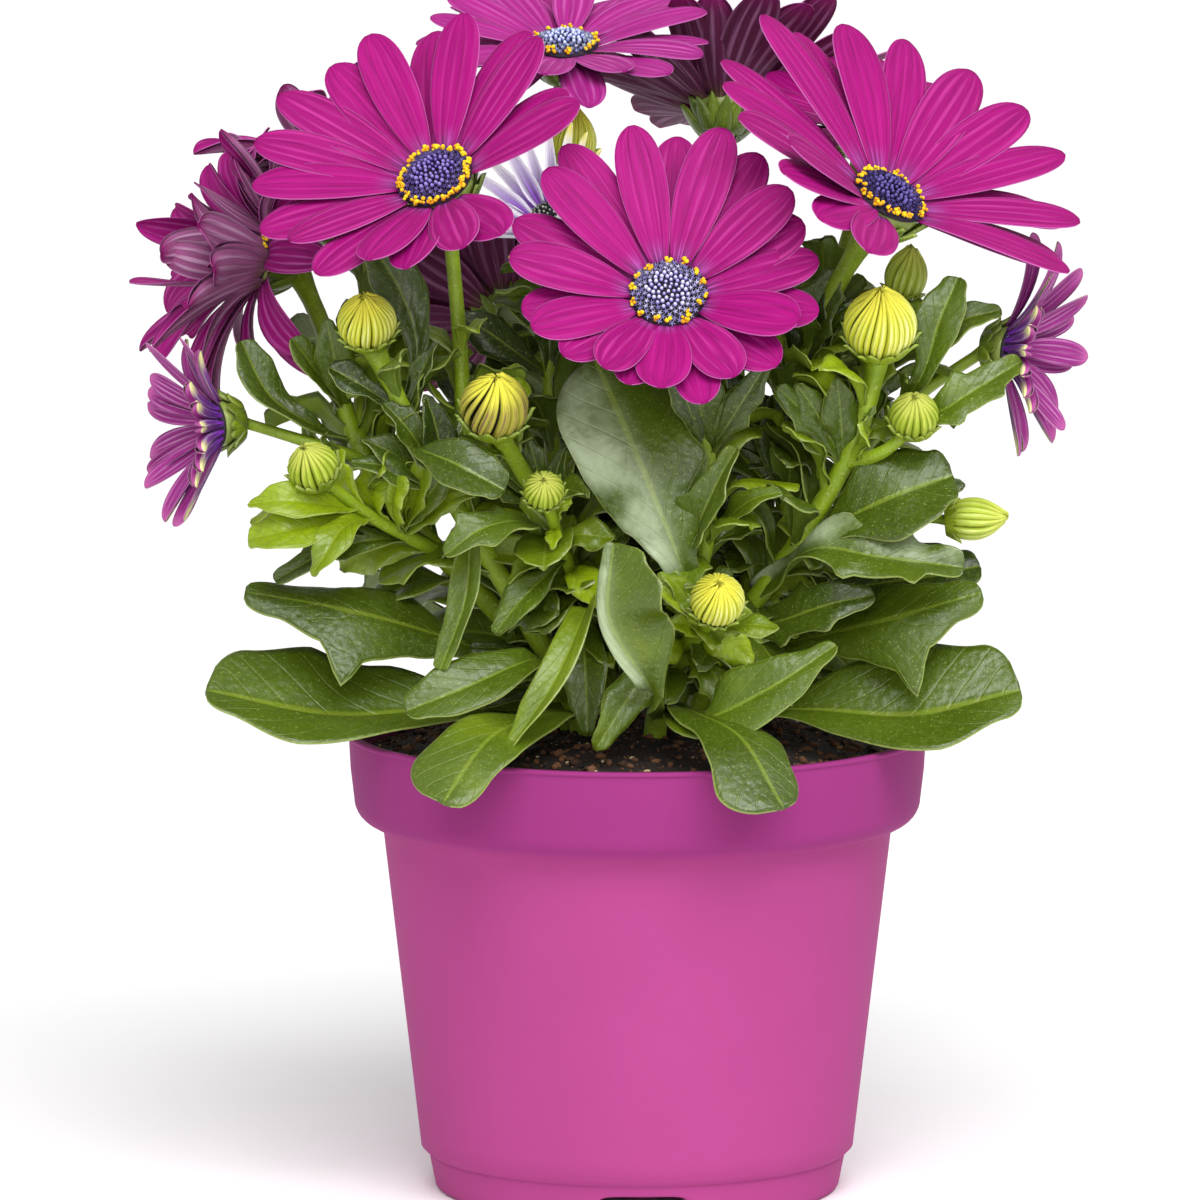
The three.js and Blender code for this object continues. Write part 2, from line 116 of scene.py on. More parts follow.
class Path:
    """A smooth curve through points, measured along its own length."""

    STEPS = 10
    NEAR = 0.02  # the share of its length over which its direction is taken

    def __init__(self, points: Iterable[Sequence[float]]) -> None:
        """Fits a centripetal curve through the points.

        Args:
            points: where it passes, from one end to the other.
        """
        knots = [Vector(point) for point in points]
        padded = [knots[0] * 2 - knots[1], *knots, knots[-1] * 2 - knots[-2]]
        self.samples = [knots[0]]
        for i in range(len(knots) - 1):
            span = padded[i : i + 4]
            self.samples += [self._between(span, step / self.STEPS) for step in range(1, self.STEPS + 1)]
        self.marks = [0.0]
        for a, b in zip(self.samples, self.samples[1:]):
            self.marks.append(self.marks[-1] + (b - a).length)

    @staticmethod
    def _between(span: Sequence[Vector], share: float) -> Vector:
        """A point between the middle two of four knots.

        Args:
            span: the knots.
            share: how far it is from the second to the third.

        Returns:
            The point.
        """
        marks = [0.0]
        for a, b in zip(span, span[1:]):
            marks.append(marks[-1] + max((b - a).length, 1e-6) ** 0.5)
        here = blend(marks[1], marks[2], share)

        def reach(start: Vector, end: Vector, low: int, high: int) -> Vector:
            """The point between two others that stands where the one sought does between two marks."""
            return start.lerp(end, (here - marks[low]) / (marks[high] - marks[low]))

        first = reach(reach(span[0], span[1], 0, 1), reach(span[1], span[2], 1, 2), 0, 2)
        last = reach(reach(span[1], span[2], 1, 2), reach(span[2], span[3], 2, 3), 1, 3)
        return reach(first, last, 1, 2)

    def at(self, share: float) -> Vector:
        """The point at a share of the whole length.

        Args:
            share: from 0 to 1.

        Returns:
            The point.
        """
        goal = min(1.0, max(0.0, share)) * self.marks[-1]
        i = min(bisect_left(self.marks, goal, 1), len(self.marks) - 1)
        gap = self.marks[i] - self.marks[i - 1]
        part = (goal - self.marks[i - 1]) / gap if gap else 0.0
        return self.samples[i - 1].lerp(self.samples[i], part)

    def tangent(self, share: float) -> Vector:
        """The curve's direction at a share of its length."""
        return (self.at(share + self.NEAR) - self.at(share - self.NEAR)).normalized()


# ---------------------------------------------------------------- materials


class Graph:
    """The nodes of one material, written as short calls."""

    def __init__(self, name: str) -> None:
        """Makes a material with its principled shader.

        Args:
            name: what the material is called.
        """
        self.material = bpy.data.materials.new(name)
        self.material.use_nodes = True
        self.tree = self.material.node_tree
        self.shader = self.tree.nodes["Principled BSDF"]

    def node(self, kind: str, *values: Value, **settings: object) -> bpy.types.Node:
        """Adds a node.

        Args:
            kind: its type.
            *values: what its first inputs take, in order.
            **settings: its properties by name.

        Returns:
            The node.
        """
        made = self.tree.nodes.new(kind)
        for key, value in settings.items():
            setattr(made, key, value)
        for socket, value in zip(made.inputs, values):
            self.plug(socket, value)
        return made

    def plug(self, socket: Socket, value: Value) -> None:
        """Links a socket to another, or sets its constant.

        Args:
            socket: the input.
            value: the output that it is linked to, or its constant.
        """
        if isinstance(value, Socket):
            self.tree.links.new(value, socket)
        else:
            socket.default_value = value

    def fill(self, node: bpy.types.Node, **values: Value) -> bpy.types.Node:
        """Plugs some of a node's inputs.

        Args:
            node: the node.
            **values: what they take, by the input's name, with _ for a space.

        Returns:
            The node.
        """
        for key, value in values.items():
            self.plug(node.inputs[key.replace("_", " ")], value)
        return node

    def math(self, operation: str, *values: Value) -> Socket:
        """The result of a Math node on up to three values."""
        return self.node("ShaderNodeMath", *values, operation=operation).outputs[0]

    def times(self, a: Value, b: Value) -> Socket:
        """The product of two values."""
        return self.math("MULTIPLY", a, b)

    def linear(self, value: Value, factor: Value, offset: Value) -> Socket:
        """A value times a factor, plus an offset."""
        return self.math("MULTIPLY_ADD", value, factor, offset)

    def step(self, value: Value, low: float, high: float) -> Socket:
        """A smooth step of a value, from 0 at low to 1 at high."""
        made = self.node("ShaderNodeMapRange", value, low, high, 0.0, 1.0, interpolation_type="SMOOTHSTEP")
        return made.outputs[0]

    def mix(self, share: Value, a: Value, b: Value) -> Socket:
        """A colour between two.

        Args:
            share: from 0, the first colour, to 1, the second.
            a: the first colour.
            b: the second colour.

        Returns:
            The colour's socket.
        """
        made = self.node("ShaderNodeMix", share, data_type="RGBA")
        colours = [socket for socket in made.inputs if socket.type == "RGBA"]
        for socket, value in zip(colours, (a, b)):
            self.plug(socket, value)
        return made.outputs[2]

    def ramp(self, share: Value, *stops: tuple[float, Colour]) -> Socket:
        """A colour read from a ramp.

        Args:
            share: the place on the ramp, from 0 to 1.
            *stops: the places and colours that it runs through.

        Returns:
            The colour's socket.
        """
        made = self.node("ShaderNodeValToRGB", share)
        elements = made.color_ramp.elements
        while len(elements) < len(stops):
            elements.new(0.5)
        for element, (place, colour) in zip(elements, stops):
            element.position, element.color = place, colour
        return made.outputs[0]

    def attribute(self, name: str) -> Socket:
        """A number that the mesh carries."""
        return self.node("ShaderNodeAttribute", attribute_name=name).outputs["Fac"]

    def across_along(self) -> Sequence[Socket]:
        """The place on a blade: 0 to 1 across it, and 0 to 1 from base to tip."""
        place = self.node("ShaderNodeUVMap", uv_map=UV_MAP).outputs[0]
        return self.node("ShaderNodeSeparateXYZ", place).outputs[:2]

    def from_middle(self, across: Socket) -> Socket:
        """How far a place is from a blade's middle line, from 0 to 1, by its place across."""
        return self.math("ABSOLUTE", self.linear(across, 2.0, -1.0))

    def space(self, *values: Value) -> Socket:
        """A vector made of three numbers or sockets."""
        return self.node("ShaderNodeCombineXYZ", *values).outputs[0]

    def object_place(self) -> Socket:
        """The place on the object, in metres."""
        return self.node("ShaderNodeTexCoord").outputs["Object"]

    def noise(self, scale: float, detail: float = 3.0, at: Socket | None = None) -> Socket:
        """A cloudy value about 0.5.

        Args:
            scale: how many blobs it has in a metre, or in a unit of its place.
            detail: how many finer clouds lie on the coarse one.
            at: the place that it is read at, or None for the place on the object.

        Returns:
            The value's socket.
        """
        made = self.node("ShaderNodeTexNoise", self.object_place() if at is None else at)
        return self.fill(made, Scale=scale, Detail=detail).outputs[0]

    def cells(self, scale: float) -> Socket:
        """The distance in a cellular pattern; scale counts its cells in a metre."""
        made = self.node("ShaderNodeTexVoronoi", self.object_place(), feature="SMOOTH_F1")
        return self.fill(made, Scale=scale).outputs[0]

    def emboss(self, height: Socket, depth: float, strength: float = 1.0) -> None:
        """Gives the surface a relief, depth metres from lowest to highest."""
        made = self.fill(self.node("ShaderNodeBump"), Strength=strength, Distance=depth, Height=height)
        self.fill(self.shader, Normal=made.outputs[0])

    def finish(self, colour: Socket, roughness: Value, **others: Value) -> bpy.types.Material:
        """Plugs the shader's colour, its roughness and others of its inputs, and gives the material."""
        self.fill(self.shader, Base_Color=colour, Roughness=roughness, **others)
        return self.material


@dataclass(frozen=True)
class PetalFinish:
    """The velvety face of a petal, with pale lengthwise lines, a pale margin, a pale claw and, where set, a
    painted glow.
    """

    name: str
    face: Colour
    line: Colour
    margin: Colour
    claw: Colour
    tip: Colour | None = None
    lines: float = 0.38
    line_count: float = 2.4
    claw_end: float = 0.16  # how far up the petal its claw's colour goes
    tip_start: float = 0.6  # how far up the petal its tip's colour begins
    rim: float = 0.95  # how far from its middle line its margin begins
    painted_glow: float = 0.0  # painted glow: how brightly the petal shines with its own colour, though it is no lamp
    contrast: float = 1.0  # how much its fibres and shades differ

    FIBRES = (15.0, 2.2)  # how closely its fibres lie, across and along
    WAVER = (2.0, 3.0)  # the same of the bends in its lines
    SEED = 37.0  # how far the patterns of the palest and the darkest petal lie apart
    RELIEF = 0.00022  # metres

    def material(self) -> bpy.types.Material:
        """Builds the petal's material.

        Returns:
            The material.
        """
        g = Graph(self.name)
        across, along = g.across_along()
        tone, from_middle = g.attribute(TONE), g.from_middle(across)
        seed = g.times(tone, self.SEED)
        fibre_place, waver_place = (
            g.space(g.times(across, width), g.times(along, length), seed)
            for width, length in (self.FIBRES, self.WAVER)
        )
        fibres, waver = g.noise(1.0, 3.0, fibre_place), g.noise(1.0, 1.0, waver_place)
        turns = g.linear(from_middle, self.line_count * math.tau, g.linear(waver, 1.4, -0.7))
        ridge = g.step(g.math("COSINE", turns), -0.2, 1.0)
        fade = g.times(g.step(along, 0.02, 0.25), g.step(along, 1.0, 0.6))
        line = g.times(g.times(ridge, fade), g.step(fibres, 0.3, 0.62))
        dark, light = shaded(self.face, 1 - 0.26 * self.contrast), shaded(self.face, 1 + 0.2 * self.contrast)
        shade = g.ramp(fibres, (0.3, dark), (0.52, self.face), (0.72, light))
        shade = g.mix(g.times(tone, 0.3 * self.contrast), shade, shaded(self.face, 0.62))
        velvet = g.mix(g.times(g.step(g.noise(4000.0, 2.0), 0.5, 0.75), 0.1), shade, self.line)
        colour = g.mix(g.times(line, g.linear(tone, 0.6, self.lines - 0.3)), velvet, self.line)
        claw = g.mix(g.step(fibres, 0.44, 0.6), shaded(self.claw, 0.55), shaded(self.claw, 1.7))
        claw_share = g.times(g.step(along, self.claw_end, 0.0), g.step(from_middle, 1.1, 0.2))
        colour = g.mix(g.math("MINIMUM", claw_share, 0.95), colour, claw)
        if self.tip:
            colour = g.mix(g.step(along, self.tip_start, self.tip_start + 0.35), colour, self.tip)
        rim = g.times(g.step(from_middle, self.rim, 1.0), g.step(along, 0.02, 0.12))
        colour = g.mix(g.times(rim, 0.5), colour, self.margin)
        g.emboss(g.math("ADD", g.times(fibres, 0.6), g.times(ridge, 0.5)), self.RELIEF)
        # painted glow: the petal emits its own colour, brightening it as light would
        glow = {"Emission_Color": colour, "Emission_Strength": self.painted_glow}
        return g.finish(colour, 0.6, Specular_IOR_Level=0.16, **glow)


@dataclass(frozen=True)
class LeafFinish:
    """A fleshy green leaf: lime when young, darker when old, with a pale midrib, margin and down, and where
    set a painted sheen on one half.
    """

    name: str
    old: Colour = tint(38, 54, 6)
    full: Colour = tint(76, 96, 8)
    young: Colour = tint(144, 168, 6)
    roughness: float = 0.36
    veins: float = 0.4  # how pale its veins are
    painted_sheen: float = 0.0  # painted sheen: how much a pale sheen painted over one half of the leaf hides its green

    VEIN = tint(142, 160, 50)
    # the colour of the painted sheen
    DOWN = tint(172, 186, 100)
    SHEEN_TINT = tint(190, 204, 168)
    LATERALS = 9.0  # side veins on each half
    SLANT = 2.2  # how many side veins' spacings one rises towards the margin
    RELIEF = 0.00028  # metres

    def material(self) -> bpy.types.Material:
        """Builds the leaf's material.

        Returns:
            The material.
        """
        g = Graph(self.name)
        across, along = g.across_along()
        from_middle = g.from_middle(across)
        cloud, fine, speckle = g.noise(70.0, 4.0), g.noise(900.0, 2.0), g.noise(2300.0, 1.0)
        age = g.math("ADD", g.attribute(TONE), g.linear(cloud, 0.5, -0.25))
        colour = g.ramp(age, (0.05, self.old), (0.5, self.full), (0.95, self.young))
        colour = g.mix(g.times(g.step(fine, 0.45, 0.7), 0.25), colour, shaded(self.full, 1.35))
        slant = g.linear(along, self.LATERALS, g.times(from_middle, -self.SLANT))
        lateral = g.step(g.math("COSINE", g.times(slant, math.tau)), 0.9, 1.0)
        vein = g.math("MAXIMUM", g.step(from_middle, 0.075, 0.025), g.times(lateral, 0.16))
        colour = g.mix(g.times(vein, self.veins), colour, self.VEIN)
        colour = g.mix(g.times(g.step(from_middle, 0.965, 1.0), 0.4), colour, self.DOWN)
        colour = g.mix(g.times(g.step(speckle, 0.62, 0.74), 0.32), colour, self.DOWN)
        # painted sheen: a pale cloudy wash on one half of the leaf, where light would glint on it
        sheen_half = g.times(g.step(across, 0.66, 0.24), g.step(cloud, 0.34, 0.62))
        colour = g.mix(g.times(sheen_half, self.painted_sheen), colour, self.SHEEN_TINT)
        pebbled = g.math("ADD", g.times(g.cells(620.0), 0.8), g.times(fine, 0.5))
        g.emboss(g.math("ADD", pebbled, g.times(lateral, -0.3)), self.RELIEF, 0.8)
        return g.finish(colour, g.linear(cloud, 0.3, self.roughness - 0.15), Specular_IOR_Level=0.52)


@dataclass(frozen=True)
class StemFinish:
    """A juicy green stem that turns purple-brown where its tone is high."""

    name: str = "stem_skin"
    low: Colour = tint(136, 162, 24)
    high: Colour = tint(84, 50, 42)
    down: Colour = tint(196, 206, 140)

    def material(self) -> bpy.types.Material:
        """Builds the stem's material.

        Returns:
            The material.
        """
        g = Graph(self.name)
        cloud, fine = g.noise(160.0, 3.0), g.noise(1500.0, 2.0)
        green = g.ramp(cloud, (0.3, shaded(self.low, 0.72)), (0.6, self.low), (0.8, shaded(self.low, 1.25)))
        colour = g.mix(g.attribute(TONE), green, self.high)
        colour = g.mix(g.times(g.step(fine, 0.6, 0.72), 0.35), colour, self.down)
        g.emboss(fine, 0.0003, 0.7)
        return g.finish(colour, 0.45, Specular_IOR_Level=0.45)


@dataclass(frozen=True)
class FloretFinish:
    """Florets from a dark base to a pale tip, by the place along them and by their tone."""

    name: str
    deep: Colour
    body: Colour
    tip: Colour

    def material(self) -> bpy.types.Material:
        """Builds the florets' material.

        Returns:
            The material.
        """
        g = Graph(self.name)
        _, along = g.across_along()
        height = g.math("ADD", along, g.linear(g.attribute(TONE), 0.4, -0.2))
        colour = g.ramp(height, (0.15, self.deep), (0.55, self.body), (0.95, self.tip))
        return g.finish(colour, 0.6, Specular_IOR_Level=0.3)


@dataclass(frozen=True)
class PowderFinish:
    """A dusty surface in two colours, such as pollen or a crumb of soil."""

    name: str
    dark: Colour
    light: Colour
    grain: float  # blobs in a metre
    roughness: float = 0.8
    depth: float = 0.0002  # metres

    def material(self) -> bpy.types.Material:
        """Builds the dusty material.

        Returns:
            The material.
        """
        g = Graph(self.name)
        cloud = g.noise(self.grain, 4.0)
        share = g.math("ADD", g.attribute(TONE), g.math("SUBTRACT", cloud, 0.5))
        g.emboss(cloud, self.depth)
        return g.finish(g.ramp(share, (0.1, self.dark), (0.9, self.light)), self.roughness)


@dataclass(frozen=True)
class PotFinish:
    """Dyed moulded plastic with a satin skin and faint flow clouds, and painted shade that darkens the
    collar.
    """

    name: str = "pot_plastic"
    body: Colour = tint(166, 66, 128)
    # painted shade: the collar's colour, darker as if in shade from above
    collar: Colour = tint(144, 50, 115)
    collar_bottom: float = 0.078  # metres
    roughness: float = 0.62

    def material(self) -> bpy.types.Material:
        """Builds the pot's material.

        Returns:
            The material.
        """
        g = Graph(self.name)
        cloud = g.noise(22.0, 3.0)
        height = g.node("ShaderNodeSeparateXYZ", g.object_place()).outputs[2]
        colour = g.ramp(cloud, (0.3, shaded(self.body, 0.96)), (0.7, shaded(self.body, 1.04)))
        # painted shade: above its lower edge the collar takes the darker colour
        painted_collar_shade = g.step(height, self.collar_bottom - 0.002, self.collar_bottom + 0.001)
        g.emboss(g.noise(2600.0, 2.0), 0.00006, 0.6)
        roughness = g.linear(cloud, 0.1, self.roughness - 0.05)
        return g.finish(g.mix(painted_collar_shade, colour, self.collar), roughness, Specular_IOR_Level=0.06)


@dataclass(frozen=True)
class PaperFinish:
    """The pale matt paper of the studio's floor."""

    name: str = "floor_paper"
    dark: Colour = tint(250, 249, 250)
    light: Colour = tint(254, 253, 254)

    def material(self) -> bpy.types.Material:
        """Builds the paper's material."""
        g = Graph(self.name)
        return g.finish(g.ramp(g.noise(3.0), (0, self.dark), (1, self.light)), 0.9)


Finish = PetalFinish | LeafFinish | StemFinish | FloretFinish | PowderFinish | PotFinish | PaperFinish


@cache
def material_of(finish: Finish) -> bpy.types.Material:
    """A finish's material, made when it is first asked for."""
    return finish.material()


VIVID = PetalFinish(
    "petal_vivid", tint(154, 2, 109), tint(184, 56, 140), margin=tint(200, 120, 186), claw=tint(136, 66, 136)
)
ROSY = replace(VIVID, name="petal_rosy", face=tint(162, 28, 126), line=tint(194, 90, 168), lines=0.5)
DEEP = replace(
    VIVID, name="petal_deep", face=tint(154, 14, 114), line=tint(188, 92, 164), claw=tint(104, 44, 94),
    lines=0.5,
)
BACK = PetalFinish(
    "petal_back", tint(92, 30, 68), tint(158, 104, 146), margin=tint(170, 84, 144), claw=tint(110, 84, 72),
    tip=tint(122, 24, 90), lines=0.65, line_count=2.0,
)
ASHEN = replace(
    BACK, name="petal_ashen", face=tint(144, 80, 124), line=tint(194, 158, 186), margin=tint(196, 124, 176)
)
YOUNG = PetalFinish(
    "petal_young", tint(150, 44, 128), tint(200, 136, 186), margin=tint(206, 156, 196),
    claw=tint(104, 60, 122), tip=tint(188, 96, 160), lines=0.6,
)
# the white quills carry a painted glow that lifts them out of the shade of the flowers above
QUILL = PetalFinish(
    "petal_quill", tint(250, 246, 252), tint(254, 253, 254), margin=tint(240, 238, 228),
    claw=tint(100, 36, 146), tip=tint(240, 232, 120), lines=0.85, claw_end=0.8, tip_start=0.5, painted_glow=0.36,
    contrast=0.25,
)
TIPPED = replace(
    QUILL, name="petal_tipped", face=tint(146, 76, 156), line=tint(216, 188, 216), tip=tint(228, 222, 160),
    tip_start=0.45, painted_glow=0.0, contrast=1.0,
)
BUD_YELLOW = PetalFinish(
    "bud_yellow", tint(212, 216, 62), tint(244, 244, 168), margin=tint(150, 158, 34), claw=tint(156, 174, 50),
    tip=tint(236, 228, 80), lines=0.7, line_count=0.5, claw_end=0.3, rim=0.6,
)
BUD_GREEN = replace(
    BUD_YELLOW, name="bud_green", face=tint(154, 174, 42), line=tint(196, 208, 96), margin=tint(106, 126, 26),
    claw=tint(118, 142, 32), tip=tint(196, 202, 90),
)
BUD_PALE = replace(
    BUD_YELLOW, name="bud_pale", face=tint(182, 202, 70), line=tint(228, 234, 144), tip=tint(206, 214, 96)
)
BUD_STRIPED = replace(
    BUD_YELLOW, name="bud_striped", face=tint(176, 168, 66), line=tint(112, 74, 78), lines=0.95,
    line_count=0.9,
)
BUD_GAP = PowderFinish("bud_gap", tint(136, 142, 26), tint(184, 184, 54), 1200.0)
# painted shade: a dark core that shows as the shaded hollow between the striped bud's rolled petals
BUD_SHADED_CORE = PowderFinish("bud_shaded_core", tint(36, 22, 18), tint(86, 62, 40), 1200.0)

LEAF = LeafFinish("leaf_skin")
# leaves with a painted sheen on one half
LEAF_SHEENED = replace(LEAF, name="leaf_painted_sheen", painted_sheen=0.6)
LEAF_BACK = LeafFinish("leaf_back", tint(62, 80, 16), tint(92, 114, 22), tint(142, 166, 24), 0.55, 0.6)
BRACT = LeafFinish("bract_skin", tint(64, 84, 12), tint(98, 120, 18), tint(146, 166, 26), veins=0.3)
STEM = StemFinish()

INDIGO = FloretFinish("florets_indigo", tint(18, 10, 38), tint(70, 48, 130), tint(146, 128, 200))
NIGHT = FloretFinish("florets_night", tint(10, 4, 20), tint(44, 30, 88), tint(104, 90, 164))
VIOLET = FloretFinish("florets_violet", tint(24, 14, 52), tint(122, 114, 188), tint(216, 214, 244))
PALE_BLUE = FloretFinish("florets_pale", tint(40, 36, 90), tint(120, 132, 204), tint(214, 222, 244))
GREENISH = FloretFinish("florets_unripe", tint(56, 62, 56), tint(134, 150, 128), tint(206, 214, 190))
PLATE = PowderFinish("disc_floor", tint(10, 4, 16), tint(40, 14, 44), 900.0, 0.7)
POLLEN = PowderFinish("pollen", tint(232, 160, 4), tint(255, 222, 24), 2400.0, 0.8, 0.0003)

SOIL_CRUMB = PowderFinish("soil_crumb", tint(18, 10, 6), tint(112, 74, 48), 700.0, 0.95, 0.0006)
SOIL_BED = PowderFinish("soil_bed", tint(10, 6, 4), tint(46, 30, 22), 420.0, 0.95, 0.001)
SOIL_SPECK = PowderFinish("soil_speck", tint(150, 110, 70), tint(214, 196, 160), 900.0, 0.9)


# ---------------------------------------------------------------- meshes


class Sculpture:
    """A mesh in the making, in millimetres, and the piece that it becomes."""

    SIDES = 10  # faces round a tube
    RIBS = 5
    RIB_DEPTH = 0.06  # of a tube's radius, as a share

    def __init__(self, name: str, *finishes: Finish) -> None:
        """Starts an empty mesh.

        Args:
            name: what the piece is called.
            *finishes: the finishes that its faces may take, by number.
        """
        self.name = name
        self.finishes = finishes
        self.bm = bmesh.new()
        self.uv = self.bm.loops.layers.uv.new(UV_MAP)
        self.tone = self.bm.verts.layers.float.new(TONE)

    def slab(self, columns: int, rows: int) -> tuple[list, list]:
        """Adds a closed flat sheet: x from -1 to 1, y from -1 to 1, z 0 underneath and 1 on top.

        Args:
            columns: faces across.
            rows: faces along.

        Returns:
            The sheet's vertices, and the faces underneath.
        """
        grid = bmesh.ops.create_grid(self.bm, x_segments=columns, y_segments=rows, size=1.0, calc_uvs=True)
        under = list({face for vert in grid["verts"] for face in vert.link_faces})
        risen = bmesh.ops.extrude_face_region(self.bm, geom=under, use_keep_orig=True)["geom"]
        top = [item for item in risen if isinstance(item, bmesh.types.BMVert)]
        bmesh.ops.translate(self.bm, verts=top, vec=(0, 0, 1))
        bmesh.ops.reverse_faces(self.bm, faces=under)
        return [*grid["verts"], *top], under

    def tube(self, path: Path, radius: Profile, tone: Profile, rings: int) -> None:
        """Adds a closed ribbed tube along a path.

        Args:
            path: the tube's centre line.
            radius: its radius at a share of its length.
            tone: its tone at a share of its length.
            rings: faces along it.
        """
        frames = []
        side = path.tangent(0).orthogonal().normalized()
        for step in range(rings + 1):
            ahead = path.tangent(step / rings)
            side = (side - ahead * side.dot(ahead)).normalized()
            frames.append((path.at(step / rings), side, ahead.cross(side)))
        made = bmesh.ops.create_grid(self.bm, x_segments=self.SIDES, y_segments=rings, size=1.0)["verts"]
        for vert in made:
            angle, share = (vert.co.x + 1) * math.pi, (vert.co.y + 1) / 2
            centre, right, up = frames[round(share * rings)]
            reach = radius(share) * (1 + self.RIB_DEPTH * math.cos(angle * self.RIBS))
            vert.co = centre + (right * math.cos(angle) + up * math.sin(angle)) * reach
            vert[self.tone] = tone(share)
        faces = list({face for vert in made for face in vert.link_faces})
        bmesh.ops.remove_doubles(self.bm, verts=made, dist=WELD)
        kept = [face for face in faces if face.is_valid]
        ends = list({edge for face in kept for edge in face.edges if edge.is_boundary})
        caps = bmesh.ops.holes_fill(self.bm, edges=ends)["faces"]
        bmesh.ops.recalc_face_normals(self.bm, faces=[*kept, *caps])

    def turn(self, profile: Sequence[Pair], steps: int, tone: float = 0.5) -> None:
        """Makes the mesh, empty so far, a closed body of revolution about the z axis.

        Args:
            profile: radius and height pairs, from one end of the axis round to the other.
            steps: faces round it.
            tone: its tone.
        """
        verts = [self.bm.verts.new((radius, 0, height)) for radius, height in profile]
        line = [*verts, *(self.bm.edges.new(pair) for pair in zip(verts, verts[1:]))]
        full = {"angle": math.tau, "axis": (0, 0, 1), "cent": (0, 0, 0), "use_merge": True}
        bmesh.ops.spin(self.bm, geom=line, steps=steps, **full)
        bmesh.ops.remove_doubles(self.bm, verts=self.bm.verts, dist=WELD)
        bmesh.ops.recalc_face_normals(self.bm, faces=self.bm.faces)
        for vert in self.bm.verts:
            vert[self.tone] = tone

    def stand(self, head: "Head") -> None:
        """Turns the mesh, made about the z axis, to a head's facing, and takes it to its place."""
        bmesh.ops.transform(self.bm, matrix=head.matrix(), verts=self.bm.verts)

    def stamp(self, template: bpy.types.Mesh, place: Matrix, tone: float) -> None:
        """Adds a copy of a template.

        Args:
            template: the mesh to copy.
            place: the transform from the template to the copy.
            tone: the copy's tone.
        """
        before = len(self.bm.verts)
        self.bm.from_mesh(template)
        self.bm.verts.ensure_lookup_table()
        added = self.bm.verts[before:]
        bmesh.ops.transform(self.bm, matrix=place, verts=added)
        for vert in added:
            vert[self.tone] = tone

    def template(self) -> bpy.types.Mesh:
        """Ends the mesh as a template for stamping, whose map holds each corner's share of its height.

        Returns:
            The template.
        """
        heights = [vert.co.z for vert in self.bm.verts]
        low, span = min(heights), max(heights) - min(heights)
        for face in self.bm.faces:
            for corner in face.loops:
                corner[self.uv].uv = (0.5, (corner.vert.co.z - low) / span)
        return self.to_mesh()

    def to_mesh(self) -> bpy.types.Mesh:
        """Ends the mesh.

        Returns:
            The mesh, with its finishes' materials.
        """
        mesh = bpy.data.meshes.new(self.name)
        self.bm.to_mesh(mesh)
        self.bm.free()
        for finish in self.finishes:
            mesh.materials.append(material_of(finish))
        return mesh

    def finish(self, slot: str, *nodes: str) -> None:
        """Turns the mesh into a piece that rides on the frame.

        Args:
            slot: not used.
            *nodes: the CAD nodes that the piece stands for.
        """
        bmesh.ops.scale(self.bm, vec=(MM, MM, MM), verts=self.bm.verts)
        for face in self.bm.faces:
            face.smooth = True
        piece = place_object(self.name, self.to_mesh())
        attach(piece, BODY)
        if nodes:
            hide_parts(*nodes)
        log.info("%s: %d faces", self.name, len(piece.data.polygons))


def place_object(name: str, data: bpy.types.ID) -> bpy.types.Object:
    """Puts a mesh, a light or a camera into the scene.

    Args:
        name: what the object is called.
        data: what it shows.

    Returns:
        The object.
    """
    made = bpy.data.objects.new(name, data)
    bpy.context.scene.collection.objects.link(made)
    return made


# ---------------------------------------------------------------- heads


@dataclass(frozen=True)
class Head:
    """Where a flower or bud sits, in millimetres, and the way it faces, in degrees."""

    at: Triple
    azimuth: float
    elevation: float

    @property
    def facing(self) -> Vector:
        """The direction that it looks in."""
        return direction(self.azimuth, self.elevation)

    @property
    def axes(self) -> tuple[Vector, Vector, Vector]:
        """Its own axes: to its right, upwards, and the way it faces."""
        right = direction(self.azimuth + 90, 0)
        return right, self.facing.cross(right), self.facing

    def matrix(self) -> Matrix:
        """The transform from a shape made about the z axis to its place here."""
        return Matrix.Translation(self.at) @ Matrix(self.axes).transposed().to_4x4()

    def point(self, angle: float, radius: float, height: float) -> Vector:
        """The point at an angle, in radians, and a radius about its axis, and a height along it."""
        right, up, facing = self.axes
        return Vector(self.at) + (right * math.cos(angle) + up * math.sin(angle)) * radius + facing * height


@dataclass(frozen=True)
class Strip:
    """A narrow closed strip that follows a meridian of a head, such as a bract or a rolled petal.

    Attributes:
        angle: where it stands round the head, in radians.
        profile: its radius and height at a share of its length.
        half_width: half its width at a share of its length.
        spiral: how far it winds round the head, in radians.
        thickness: its thickness.
        bulge: how far its middle line stands out.
        lap: how far one margin stands out and the other one in.
        tone: its tone.
        rows: faces along it.
    """

    angle: float
    profile: Callable[[float], Pair]
    half_width: Profile
    spiral: float = 0.0
    thickness: float = 0.5
    bulge: float = 0.0
    lap: float = 0.0
    tone: float = 0.5
    rows: int = 9

    COLUMNS = 4
    LEAST_RADIUS = 0.4  # millimetres, so that it doesn't fan out at the axis

    def add_to(self, work: Sculpture, head: Head) -> None:
        """Adds the strip to a mesh.

        Args:
            work: the mesh.
            head: the head that it stands on.
        """
        verts, _ = work.slab(self.COLUMNS, self.rows)
        for vert in verts:
            x, share, layer = vert.co.x, (vert.co.y + 1) / 2, vert.co.z
            radius, height = self.profile(share)
            angle = self.angle + self.spiral * share
            angle += x * self.half_width(share) / max(radius, self.LEAST_RADIUS)
            out = radius + self.thickness * (layer - 0.5) + self.bulge * (1 - x * x) + self.lap * x
            vert.co = head.point(angle, out, height)
            vert[work.tone] = self.tone


